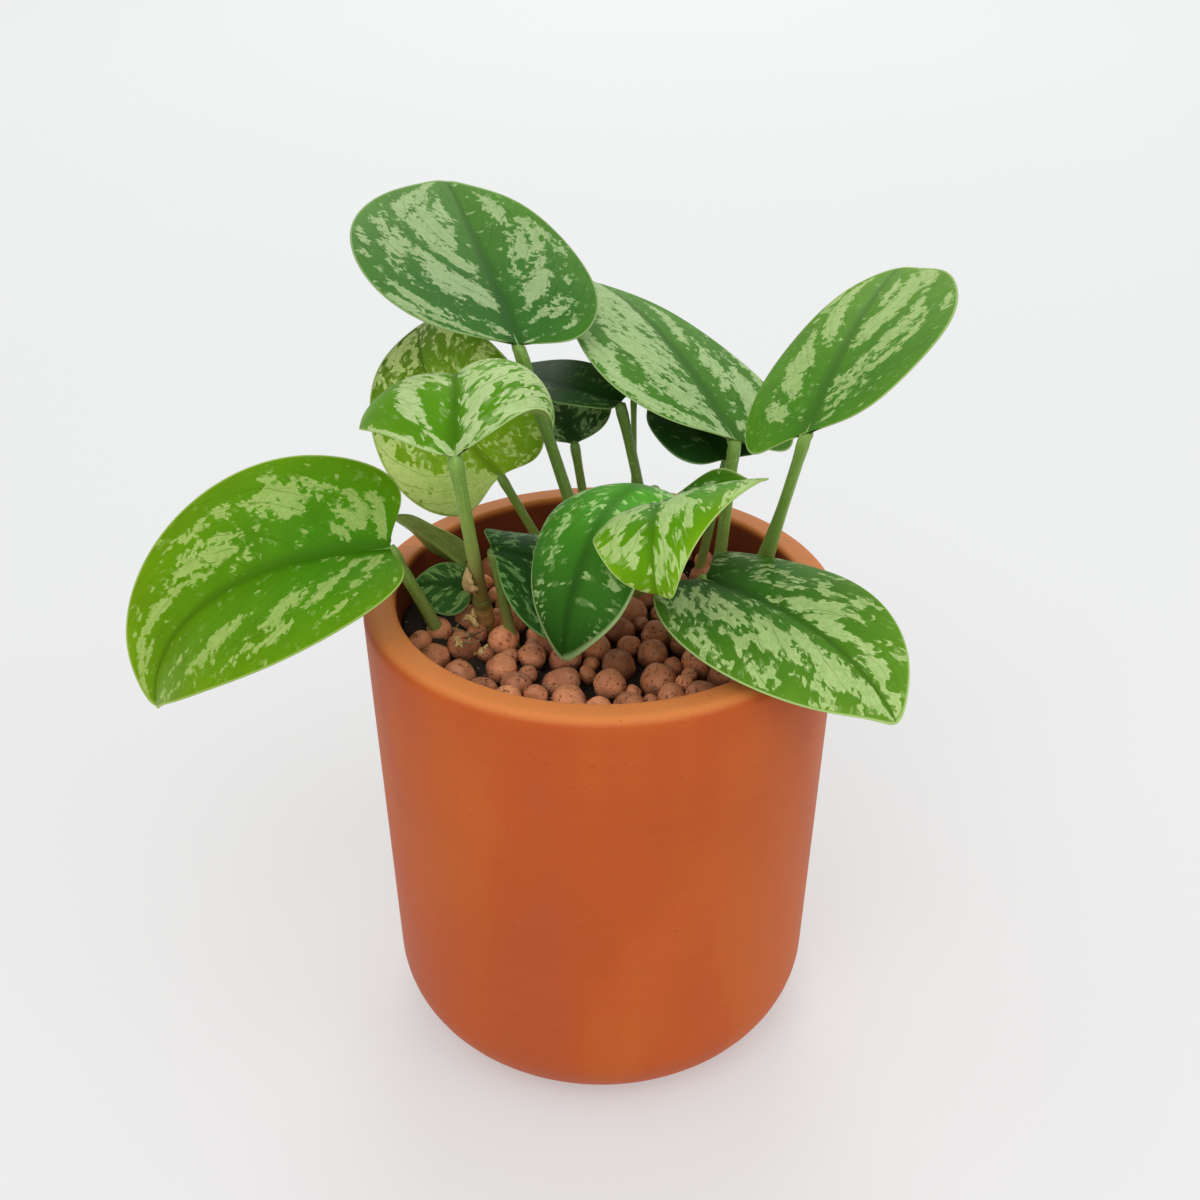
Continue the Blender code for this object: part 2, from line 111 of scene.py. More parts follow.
# Leaf blades
OUTLINE_FULLNESS = 0.22
OUTLINE_TIP = 0.05
TIP_WIDTH = 0.35
TIP_NARROWING = 0.25
TIP_NARROWING_WIDTH = 0.45
SINUS_WIDTH = 0.42
SINUS_START = 0.97
VEIN_SWEEP = 1.25
MIDRIB_SPACING = 1.35
LIFT_LENGTH = 0.08
ARC_STEPS = 200
ARC_AHEAD, ARC_BEHIND = 1.1, 0.4     # reach of the midrib's tables, as shares of the leaf's length
STALK_TAPER = 1.6
WAIST_LENGTH = 0.40
WAVE_PLACE = 0.12
WAVE_SPAN = 0.10
VEIN_SLANT = 0.25        # how far a side vein runs towards the tip on its way to the margin
VEIN_BEND = 0.17
VEIN_SPACING = 6.5
BLOCK_TURN = 42.0        # the patches' ragged steps lie at this angle to the midrib
PATCH_EDGE = 1.8         # softness of a silver patch's edge, before the cells make it ragged
ISLAND_STRENGTH = 0.85
BLOCKS, FINE_BLOCKS, TEETH, RIB_SHADE = 0.66, 0.46, 0.08, 0.40     # how much each counts in the silver
SILVER_STEP, HALO_STEP = (0.485, 0.515), (0.34, 0.42)              # where a patch and its halo begin
INLAND_STEP = (0.35, 0.9)                                          # and how far in from the margin
COLUMN_CROWDING = 1.35   # the columns crowd towards the margin
MARGIN_WAVES = 13.0      # two waves from base to tip
MARGIN_RUN = 0.6         # a blade thins out over about this distance from its margin
GROOVE = (0.16, 1.5)     # depth and half width over the midrib
RIDGE_WIDTH = 1.1
RIB_FADE = 0.7
LEAF_SEED, HALF_SEED = 5.3, 2.4
BAND_START = 1.15        # share of the dark band's width at the base; it falls by one up to the tip
LIT_TIP = (0.75, 0.35, 0.60)     # how much yellower the tip is, where that starts and over what run
LIT_MARGIN = 0.45
LIT_SILVER = 0.55        # share of that in the silver
DARK_BASE, DARK_TIP = 0.30, 0.50     # reach of the painted shade on the blades, as shares of the rows
# how much of the blades' painted shade the silver takes
DARK_SILVER = 0.7
TINY_CURL = 0.001        # keeps the curl's formula away from zero
WELD_REACH = 0.000002

# Leaf stalks
STALK_SINK = 8.0         # how far the stalk goes on under the soil's top
STALK_END = 0.985
STALK_RINGS, STALK_SIDES = 26, 16
KNEE = (0.16, 0.95, 0.05)      # the swelling under the blade: how much, where and how far along the stalk
RIB_END = ((0.03, 0.80), (0.07, 0.62), (0.12, 0.46), (0.18, 0.32), (0.25, 0.20))   # row, share of radius
FOOT_TONE = (12.0, 62.0, 14.0)   # the pale foot: height, more of it for each share of sheath, and fade
STEM_TONE_FADE = 13.0    # the saddle leaf's stalk is pale over about this distance from the stem
STALK_TONE = (80, 70)    # a stalk is darkest up to this green of its blade, and palest this far above it
STALK_SEED = 7.1

# Ringed stem that carries the saddle leaf
STEM_LEAF = "leaf_saddle"
STEM_HEIGHT = 25.0
STEM_RADIUS = 3.1
STEM_RING = 0.35
STEM_RINGS = 6
STEM_TAPER = 0.05
STEM_DEPTH = 16.0
STEM_OVERLAP = 1.5       # how far the stalk starts inside the stem
STEM_PLAY = 0.05         # keeps the stem and the sheath just under their solids' size
STEM_RIDGE = (0.50, 0.12)        # place and width of a ring's ridge, as shares of its spacing
STEM_SCAR = (0.62, 0.07)
STEM_STEPS, STEM_SIDES = 60, 24

# Dried sheath peeling off the stalk above the stem
SHEATH_SPAN = (29.0, 41.0)     # from and to, measured along the stalk from its foot
SHEATH_HEADING = 211.0
SHEATH_BULGE = 2.5
SHEATH_OPENING = (20, 50)      # half of how far round it reaches: at its ends, and more at its middle
SHEATH_HOLLOW = 0.55           # how much less its sides stand out
SHEATH_THICKNESS = 0.18
SHEATH_GRID = (30, 15)
SHEATH_TONE = 0.8

# Dried scraps beside the stem: middle, heading, length, width, how far the ends curl up, and how pale
SCRAPS = (
    ((-38.6, -1.5, 140.6), 62, 8.5, 2.6, 0.8, 1.0), ((-37.2, -6.5, 140.8), 118, 8.0, 2.2, 1.0, 0.9),
    ((-40.2, -9.5, 139.9), 150, 8.0, 0.8, 0.7, 0.35), ((-37.0, -11.0, 140.0), 40, 9.0, 0.7, 0.6, 0.2),
    ((-42.5, -5.5, 139.6), 80, 8.0, 0.7, 0.6, 0.25), ((-38.5, -13.0, 139.8), 100, 7.0, 1.0, 0.5, 0.6),
)
PEBBLE_SCRAPS = (
    ((-41.0, -17.2, 140.6), 112, 6.5, 2.6, 0.8, 1.0), ((-34.4, -21.5, 140.8), 58, 5.5, 2.2, 0.7, 0.95),
    ((-37.8, -16.0, 140.3), 15, 6.0, 0.8, 0.5, 0.3),
)
SCRAP_NARROWING = 0.75         # how much narrower its ends are
SCRAP_CUP = 0.22               # how far its sides turn up, as a share of its width
SCRAP_THICKNESS = 0.16
SCRAP_GRID = (24, 9)

# How much a stalk widens at its foot, and how far up, as a share of its length
FOOT_SHEATH = (0.30, 0.16)
FOOT_SHEATHS = {"leaf_far_right": (0.50, 0.42)}

# Camera
VIEW_TARGET = (0.0, 0.0, 0.1494)
VIEW_DISTANCE = 0.4904
VIEW_ELEVATION = 29.85
VIEW_LENS = 49.84
VIEW_SHIFT = (-0.001, -0.0099)
SENSOR_WIDTH = 36.0
CLIP_START = 0.01

# Studio: each light's name, place, size and power in metres and watts
LIGHTS = (
    ("key", (-0.25, -0.95, 1.20), 1.0, 5.8),
    ("fill", (1.0, -0.6, 0.9), 0.9, 2.2),
    ("back", (0.1, 2.1, 1.6), 1.6, 17.0),
)
LIGHT_AIM = (0.0, 0.0, 0.14)
WORLD_STRENGTH = 0.73
FLOOR_REACH = 6.0

# Tones laid over the chosen colours, as linear values; the rim's tone is painted light, the inside's tone
# painted shade
STALK_FOOT, STALK_BROWN = (0.42, 0.44, 0.13), (0.230, 0.165, 0.032)
CLAY_FLAME, CLAY_SMOKE = (0.600, 0.150, 0.022), (0.440, 0.085, 0.034)
CLAY_RIM_LIGHT, CLAY_SPECK, CLAY_INSIDE_SHADE = (0.78, 0.27, 0.075), (0.70, 0.36, 0.20), (0.150, 0.036, 0.016)
PEBBLE_DUST, PEBBLE_GRIT, SOIL_GRIT = (0.62, 0.36, 0.24), (0.62, 0.40, 0.28), (0.60, 0.46, 0.34)
STEM_DARK, STEM_STRAW = (0.380, 0.215, 0.055), (0.760, 0.520, 0.180)
STEM_GREEN, STEM_SCARRED = (0.135, 0.175, 0.035), (0.150, 0.065, 0.022)
HUSK_BROWN, HUSK_PALE, ROOT_DARK = (0.28, 0.130, 0.030), (0.95, 0.72, 0.30), (0.055, 0.030, 0.014)
RIM_LIT = (0.1470, 0.1492)       # heights in metres between which the rim's top turns paler, as painted light
STEM_GREENING = (37.0, 43.0)     # places between which the stem turns green, from its buried end


class Leaf(NamedTuple):
    """One leaf: where its blade starts, how it lies, and where its stalk stands in the pot."""

    name: str
    base: tuple
    heading: float
    pitch: float
    roll: float
    length: float
    widths: tuple
    droop: float
    folds: tuple
    curls: tuple
    foot: tuple
    stalk: tuple = (2.0, 1.5)
    bow: tuple = (0.0, 0.0)
    twist: float = 0.0
    lobe: float = 0.10
    lift: float = 5.0
    late: float = 1.6
    waist: tuple = (0.0, 0.0)
    waist_from: float = 0.36
    wave: tuple = (0.0, 0.0)


class Marking(NamedTuple):
    """How one leaf is coloured; its colours are display values from 0 to 255, raised or lowered with the
    light on the leaf, so they hold painted light and painted shade besides its own colours.

    A placed patch is (from, to, from, to) in hundredths and, if it isn't the leaf's own, its strength.
    The first pair is where its side veins leave the midrib, the second how far out it lies, from 0 at the
    midrib to 100 at the margin. A negative strength is a green island.
    """

    green: tuple                   # the body of the blade
    tip: tuple                     # towards the tip and the margins
    silver: tuple
    level: tuple = (-0.02, -0.02)    # silver between the placed patches, on the left and right half
    wild: float = 0.5              # how much it wanders
    cell: tuple = (1.9, 2.7)       # the ragged edges across and along the side veins, in millimetres
    band: float = 2.6              # half width of the dark band along the midrib, in millimetres
    painted_shade: float = 0.0              # painted shade: how much darker it is at the base or, if negative, at the tip
    inset: float = 0.0             # how far the placed patches are drawn in at their edges, in millimetres
    firm: float = 0.94             # how solid the placed patches are
    left: tuple = ()
    right: tuple = ()


LEAVES = (
    Leaf("leaf_crown", (-23.8, 21, 217.4), 107, 17, 8, 91, (43, 30), 6, (14, 10), (-2, -12),
         foot=(1, 33), stalk=(2.1, 1.8), twist=-5, lobe=0.08, lift=4),
    Leaf("leaf_left_upright", (-30.9, 34, 169.5), 164, 46, -88, 64, (27, 28), 83, (11, 12), (1, -13),
         foot=(-10, 41), stalk=(1.9, 1.4), twist=4, lobe=0.14, lift=2),
    Leaf("leaf_saddle", (-38.8, -26, 204.4), 92, 39, 3, 68, (32, 39.5), 163, (9, 45),
         (-73, -142), foot=(-34, 8), stalk=(2.4, 1.9), twist=2, lobe=-0.09, lift=0, wave=(0, 9.5)),
    Leaf("leaf_broad_silver", (39.2, 18, 188.7), 110, 16, 27, 105, (38, 33), 22, (8, 6), (-28, -8),
         foot=(35, 25), stalk=(2.2, 1.8), bow=(0, 1), lobe=0.08),
    Leaf("leaf_far_right", (55.3, -16, 206.5), 69, 17, -26, 92, (29, 36), 16, (0, 11), (-26, 0),
         foot=(45, 27), stalk=(2.8, 1.6), bow=(1, -1), twist=12),
    Leaf("leaf_far_left", (-60, -10, 168), 186, -2, -2, 97, (37, 31), 86, (18, 40), (-39, -5),
         foot=(-45, 2), stalk=(2.3, 1.8), bow=(0, 1), twist=-31, lobe=0.15, lift=1, waist=(0, 0.2)),
    Leaf("leaf_front_right", (29, -15, 161), 329, -3, -13, 70, (30, 35), 49, (18, 11), (-30, -38),
         foot=(26, 1), stalk=(2.1, 1.7), twist=22, lobe=0.18, lift=3),
    Leaf("leaf_front_dark", (15.7, 12, 176.4), 247, 31, -2, 84, (15.5, 23), 128, (-2, 0), (-31, -46),
         foot=(10, 21), stalk=(2.0, 1.6), twist=6, lobe=0.11, late=1.4, waist=(-0.75, 0),
         waist_from=0.46),
    Leaf("leaf_front_curled", (16.5, -28, 191.2), 262, 30, 6, 59, (29, 19), 225, (20, 0), (-24, -44),
         foot=(21, 3), stalk=(1.9, 1.5), bow=(5, -4), twist=6, lobe=0.18, lift=45, late=2.6,
         waist=(0.62, 0), wave=(5.5, 0)),
    Leaf("leaf_middle_back", (5.5, 34, 194), 156, 8, 4, 44, (13, 20), 14, (4, 8), (-6, -10),
         foot=(18, 39), stalk=(2.0, 1.6), bow=(2, 0), lobe=0.08),
    Leaf("leaf_low_back", (-8.3, 42, 177), 104, 22, 4, 44, (21, 15), 24, (8, 20), (-15, -10),
         foot=(-1, 49), stalk=(1.7, 1.4), lobe=0.0, lift=0),
    Leaf("leaf_under_silver", (37.6, 26, 179), 120, 14, 4, 40, (15, 18), 20, (6, 8), (-16, -20),
         foot=(29, 36), stalk=(1.7, 1.3), lobe=0.10, lift=20),
    Leaf("leaf_left_rising", (-42, 14, 150), 170, 38, 48, 26, (13, 13), 10, (12, 12), (-12, -12),
         foot=(-36, 22), stalk=(1.6, 1.2), lobe=0.10),
    Leaf("leaf_left_low", (-39.4, 7, 147), 184, 4, -34, 18, (10, 6.5), 30, (4, 8), (-16, -10),
         foot=(-36, 15), stalk=(1.3, 1.1), twist=-6, lobe=0.10),
    Leaf("leaf_inner_shade", (-31, -10, 168), 18, -24, 6, 47, (20, 27), 10, (4, 2), (-32, -38),
         foot=(-25, -3), stalk=(2.0, 1.5), twist=12, lobe=0.07),
    Leaf("leaf_young_back", (10, 49, 190.5), 80, 6, 0, 27, (9, 10), 12, (8, 8), (-12, -12),
         foot=(11, 51), stalk=(1.1, 0.9), lobe=0.12, lift=0),
)

# Each leaf's colours are raised or lowered with the light on it: partly the leaf's own colours, partly
# painted light and painted shade
MARKINGS = {
    "leaf_crown": Marking(
        (48, 106, 24), (80, 134, 24), (152, 176, 122), wild=0.3, inset=0.35,
        left=(
            (41, 50, 10, 66), (50, 60, 20, 60), (24, 37, 2, 35), (19, 37, 30, 52), (60, 71, 20, 48),
            (50, 60, 60, 95), (38, 52, 66, 84), (24, 32, 76, 88), (10, 15, 88, 95), (28, 34, 50, 74),
            (20, 29, 62, 78), (-6, 3, 62, 86), (0, 4, 50, 60), (7, 10, 30, 40), (5, 12, 5, 25),
            (0, 4, 26, 34), (-40, -10, 90, 100), (37.5, 40, 2, 55, -1.0), (-34, -12, 40, 80, 0.72),
            (-16, -8, 60, 95, 0.8), (10, 20, 64, 76, 0.6), (2, 8, 86, 96, 0.6),
        ),
        right=(
            (47, 60, 45, 75), (60, 64, 45, 55), (30, 42, 66, 80), (22, 32, 78, 88), (42, 49, 28, 42),
            (35, 44, 38, 60), (27, 36, 55, 74), (34, 42, 24, 32), (20, 32, 22, 62), (10, 15, 25, 64),
            (3, 9, 50, 70), (10, 17, 72, 80), (15, 20, 84, 93), (-14, -4, 30, 56, 0.62),
            (-12, -5, 66, 84, 0.6),
        ),
    ),
    # Bright base colours are painted light through the blade; the darker tip is painted shade
    "leaf_left_upright": Marking(
        (162, 212, 44), (84, 130, 16), (226, 252, 146), level=(0.37, 0.35), wild=1.0, cell=(2.8, 2.6),
        band=1.6, painted_shade=-0.55,
        left=((-60, 16, 10, 100, 0.9),),
    ),
    "leaf_saddle": Marking(
        (84, 142, 18), (132, 178, 36), (182, 204, 142), level=(0.1, 0.36), wild=0.8, cell=(1.9, 5.4),
        band=1.8,
        left=((10, 50, 27, 50), (-60, 6, 0, 34, 1.1), (40, 70, 10, 25, 0.7), (-60, -16, 30, 100, 0.8)),
        right=((-30, 60, 6, 100, 0.62), (5, 30, 85, 100, 0.8), (-60, 10, 0, 34, 1.1)),
    ),
    "leaf_broad_silver": Marking(
        (66, 122, 24), (82, 138, 26), (165, 192, 130), level=(0.05, 0.05), wild=0.4, band=3.4,
        left=(
            (-50, 90, 12, 97, 0.8), (12, 28, 75, 92, -1.0), (10, 20, 60, 72, -1.0), (0, 10, 62, 80, -1.0),
            (-5, 5, 55, 80, -1.0), (-3, 5, 30, 50, -1.0), (19, 21, 30, 50, -1.0), (30, 35, 8, 25, -1.0),
            (46.2, 47.8, 10, 60, -1.0),
        ),
        right=(
            (27, 45, 27, 50), (12, 27, 42, 72), (5, 17, 88, 100), (6, 12, 22, 36), (-2, 6, 35, 65),
            (50, 58, 25, 70),
        ),
    ),
    "leaf_far_right": Marking(
        (70, 132, 12), (98, 150, 12), (164, 191, 118), wild=0.35, band=2.8, inset=0.2,
        left=((20, 42, 30, 66), (47, 60, 22, 85), (34, 44, 82, 97), (5, 15, 42, 68)),
        right=(
            (46, 60, 8, 75), (36, 50, 72, 100), (64, 72, 20, 50), (27, 38, 35, 72), (20, 36, 5, 45, 0.62),
            (17, 24, 42, 74), (10, 20, 20, 45, 0.55), (12, 20, 90, 97), (0, 5, 10, 40, 0.55),
        ),
    ),
    "leaf_far_left": Marking(
        (74, 138, 10), (118, 157, 10), (158, 186, 100), wild=0.3, band=3.2, inset=0.35,
        left=(
            (10, 17, 42, 64), (9, 14, 26, 42), (-3, 5, 32, 56), (19, 26, 42, 72), (12, 17, 68, 84),
            (-2, 3, 76, 86), (0, 4, 62, 70), (20, 24, 78, 88), (34, 43, 48, 78), (37, 39, 60, 80, -1.0),
            (53, 58, 52, 66), (40, 45, 82, 93), (50, 56, 78, 88), (5, 9, 30, 80, -1.0),
            (27, 32, 30, 90, -1.0),
        ),
        right=(
            (12, 22, 56, 74), (19, 28, 40, 64), (5, 12, 62, 78), (5, 14, 28, 52), (0, 5, 50, 70),
            (-8, -2, 42, 72), (-5, 3, 26, 50, 0.62), (16, 20, 18, 34), (7, 12, 78, 87), (20, 24, 70, 80),
            (33, 39, 38, 66), (39, 48, 28, 62), (43, 47, 15, 30), (26, 31, 70, 82), (50, 58, 42, 78),
            (50, 56, 28, 42), (40, 45, 76, 84), (52, 66, 60, 98, 0.75), (64, 70, 40, 60),
        ),
    ),
    # Painted shade darkens the base
    "leaf_front_right": Marking(
        (60, 118, 28), (104, 152, 38), (174, 200, 130), level=(0.19, 0.2), wild=0.55, cell=(2.2, 4.0),
        band=2.4, painted_shade=0.65, firm=0.8,
        left=(
            (40, 50, 5, 42), (40, 48, 42, 62), (52, 57, 2, 34), (57, 65, 5, 45), (60, 90, 20, 90, 0.56),
            (33, 38, 62, 74), (20, 35, 20, 60, 0.46), (12, 18, 78, 90),
        ),
        right=(
            (0, 10, 30, 60, 0.6), (12, 28, 28, 58), (-8, 2, 60, 82), (22, 30, 30, 50, 0.6),
            (30, 47, 30, 62), (48, 68, 16, 66), (66, 85, 10, 70), (0, 5, 85, 95), (4, 12, 78, 92),
            (17, 23, 62, 96), (14, 19, 60, 70), (36, 45, 66, 80),
        ),
    ),
    # Colours raised against the shadow over this leaf, as painted light; the darker tip is painted shade
    "leaf_front_dark": Marking(
        (102, 192, 54), (62, 126, 34), (200, 244, 150), level=(0.16, 0.2), wild=0.7, cell=(1.9, 3.4),
        band=2.6, painted_shade=-0.7,
        left=((-30, 20, 25, 100, 0.5), (52, 100, 0, 100, -1.0)),
        right=(
            (34, 46, 36, 62, 0.66), (30, 35, 75, 82, 0.6), (-30, 22, 25, 100, 0.48),
            (56, 100, 0, 100, -1.0),
        ),
    ),
    # Painted shade darkens the base and its lifted lobe
    "leaf_front_curled": Marking(
        (48, 128, 12), (124, 172, 8), (168, 194, 126), level=(0.34, 0.38), wild=0.8, cell=(2.0, 5.0),
        band=3.0, painted_shade=0.6,
        left=((22, 62, 12, 42), (10, 42, 42, 72, 0.62), (60, 85, 10, 50, 0.5)),
        right=((2, 46, 34, 74, 0.68), (50, 66, 20, 60, 0.6)),
    ),
    "leaf_middle_back": Marking((32, 76, 26), (50, 90, 38), (104, 138, 80), level=(0.04, 0.1), wild=0.7),
    "leaf_low_back": Marking(
        (60, 100, 46), (68, 112, 46), (166, 192, 138), level=(0.34, 0.42), wild=1.0, cell=(1.6, 3.4),
    ),
    "leaf_under_silver": Marking((36, 78, 28), (42, 86, 34), (120, 152, 96), level=(0.03, 0.08), wild=0.7),
    "leaf_left_rising": Marking((78, 122, 52), (96, 140, 56), (150, 176, 110), level=(0.4, 0.4), wild=1.0),
    "leaf_left_low": Marking(
        (50, 96, 34), (60, 106, 46), (128, 162, 92), level=(0.4, 0.4), wild=0.9, cell=(1.3, 4.5),
    ),
    "leaf_inner_shade": Marking(
        (38, 84, 28), (60, 108, 36), (118, 160, 92), level=(0.36, 0.36), wild=0.9, cell=(1.5, 3.6),
    ),
    "leaf_young_back": Marking(
        (96, 156, 52), (126, 178, 60), (160, 190, 110), level=(0.34, 0.34), wild=0.9, cell=(1.0, 3.0),
    ),
}


# Settings


def length_setting(name, description, default, low, high):
    return FloatProperty(
        name=name, description=description, default=default, min=low, max=high, precision=5, unit="LENGTH",
    )


def colour_setting(name, description, default):
    return FloatVectorProperty(
        name=name, description=description, default=default, size=3, min=0.0, max=1.0, subtype="COLOR",
    )


class PothosSizes(PropertyGroup):
    blade_thickness: length_setting(
        "Blade thickness", "Thickness of a leaf blade away from its margin", 0.00056, 0.0003, 0.001,
    )
    margin_thickness: length_setting(
        "Margin thickness", "Thickness of a leaf blade at its margin", 0.00024, 0.0001, 0.0008,
    )
    midrib_height: length_setting(
        "Midrib height", "How far the midrib stands out under the blade, at its base", 0.0009, 0.0, 0.002,
    )
    margin_wave: length_setting(
        "Margin wave", "Height of the waves along a blade's margin", 0.0005, 0.0, 0.002,
    )
    blade_rows: IntProperty(
        name="Blade rows", description="Rows of faces from the base of a blade to its tip",
        default=96, min=20, max=160,
    )
    blade_columns: IntProperty(
        name="Blade columns", description="Faces across half a blade", default=23, min=6, max=40,
    )
    pot_sides: IntProperty(
        name="Pot sides", description="Faces around the pot", default=192, min=48, max=360,
    )
    pebble_roughness: FloatProperty(
        name="Pebble unevenness", default=0.085, min=0.0, max=0.2, subtype="FACTOR",
        description="How far a pebble departs from a ball, as a share of its radius",
    )


class PothosColours(PropertyGroup):
    underside: colour_setting("Underside", "Olive green of the leaves' undersides", (0.235, 0.325, 0.080))
    stalk: colour_setting("Stalk", "Green of the leaf stalks", (0.165, 0.300, 0.048))
    terracotta: colour_setting("Terracotta", "Fired clay of the pot", (0.495, 0.091, 0.0175))
    pebble: colour_setting("Pebble", "Fired clay of the pebbles", (0.830, 0.296, 0.136))
    soil: colour_setting("Soil", "Damp potting soil", (0.022, 0.014, 0.009))
    floor: colour_setting("Floor", "Pale floor under the pot", (0.490, 0.498, 0.500))


# Shading


def arithmetic(operation, reflected=False):
    """A Signal's operator, which adds one Math node; a reflected one has the plain number first."""
    def method(self, other):
        return self.math(operation, other, self) if reflected else self.math(operation, self, other)
    return method


class Signal:
    """A value that varies over a surface; arithmetic on it adds Math nodes."""

    __add__ = __radd__ = arithmetic("ADD")
    __sub__, __rsub__ = arithmetic("SUBTRACT"), arithmetic("SUBTRACT", reflected=True)
    __mul__ = __rmul__ = arithmetic("MULTIPLY")
    __truediv__, __rtruediv__ = arithmetic("DIVIDE"), arithmetic("DIVIDE", reflected=True)

    def __init__(self, look, socket):
        self.look, self.socket = look, socket

    def math(self, operation, first, second=None):
        sockets = {0: first} if second is None else {0: first, 1: second}
        return self.look.node("ShaderNodeMath", sockets, operation=operation)

    def __abs__(self):
        return self.math("ABSOLUTE", self)

    def fraction(self):
        return self.math("FRACT", self)

    def clamp(self):
        return self.look.node("ShaderNodeClamp", {"Value": self})

    def step(self, low, high):
        """A soft step from 0 at low to 1 at high."""
        return self.look.node(
            "ShaderNodeMapRange", {"Value": self, "From Min": low, "From Max": high},
            interpolation_type="SMOOTHSTEP",
        )

    def bell(self, width):
        """1 where the value is 0, falling off over the width on both sides."""
        return 1.0 - abs(self).step(0.0, width)


class Look:
    """One material's nodes."""

    def __init__(self, name):
        self.material = bpy.data.materials.new(name)
        self.material.use_nodes = True
        self.tree = self.material.node_tree
        self.tree.nodes.clear()

    def node(self, kind, sockets=None, output=0, **settings):
        """Add one node: its settings first, then the values or links of its sockets."""
        made = self.tree.nodes.new(kind)
        for key, value in settings.items():
            setattr(made, key, value)
        for key, value in (sockets or {}).items():
            if isinstance(value, Signal):
                self.tree.links.new(value.socket, made.inputs[key])
            elif isinstance(value, tuple) and len(value) == 3 and made.inputs[key].type == "RGBA":
                made.inputs[key].default_value = (*value, 1.0)
            else:
                made.inputs[key].default_value = value
        return Signal(self, made.outputs[output]) if made.outputs else None

    def attribute(self, name, output="Fac"):
        return self.node("ShaderNodeAttribute", output=output, attribute_name=name)

    def place(self):
        """Position in the object's own frame."""
        return self.node("ShaderNodeTexCoord", output="Object")

    def split(self, vector):
        return [self.node("ShaderNodeSeparateXYZ", {0: vector}, output=i) for i in range(3)]

    def vector(self, x, y, z):
        return self.node("ShaderNodeCombineXYZ", {0: x, 1: y, 2: z})

    def noise(self, vector, scale=1.0, detail=2.0, roughness=0.5):
        sockets = {"Vector": vector, "Scale": scale, "Detail": detail, "Roughness": roughness}
        return self.node("ShaderNodeTexNoise", sockets)

    def cells(self, vector, scale=1.0):
        """The distance from the middle of a Voronoi cell."""
        return self.node("ShaderNodeTexVoronoi", {"Vector": vector, "Scale": scale})

    def blocks(self, vector, scale=1.0):
        """A random value for each block of a ragged, stepped grid."""
        colour = self.node(
            "ShaderNodeTexVoronoi", {"Vector": vector, "Scale": scale}, output=1,
            voronoi_dimensions="2D", distance="CHEBYCHEV",
        )
        return self.node("ShaderNodeSeparateColor", {0: colour})

    def dim(self, colour, share):
        """A linked colour made darker or lighter by a share."""
        return self.node("ShaderNodeVectorMath", {0: colour, "Scale": share}, operation="SCALE")

    def mix(self, first, second, share):
        """Mix two colours, or a colour and a link, by a share."""
        return self.node("ShaderNodeMix", {0: share, 6: first, 7: second}, output=2, data_type="RGBA")

    def layers(self, colour, *layers):
        """Lay tones over a colour, each by its own share."""
        for tone, share in layers:
            colour = self.mix(colour, tone, share)
        return colour

    def bump(self, height, distance, strength):
        return self.node("ShaderNodeBump", {"Height": height, "Distance": distance, "Strength": strength})

    def finish(self, colour, roughness, normal=None, **constants):
        """The Principled surface and the output; constants set plain sockets."""
        sockets = {"Base Color": colour, "Roughness": roughness}
        if normal:
            sockets["Normal"] = normal
        for key, value in constants.items():
            sockets[key.replace("_", " ").title().replace("Ior", "IOR")] = value
        shader = self.node("ShaderNodeBsdfPrincipled", sockets)
        self.node("ShaderNodeOutputMaterial", {"Surface": shader})
        return self.material


def shade(colour, share):
    """A colour made darker or lighter by a share."""
    return tuple(min(1.0, channel * share) for channel in colour)


def paint(colour):
    """A colour given in display values from 0 to 255, as the shader's linear values."""
    return tuple((v / 255 / 12.92) if v <= 10 else ((v / 255 + 0.055) / 1.055) ** 2.4 for v in colour)


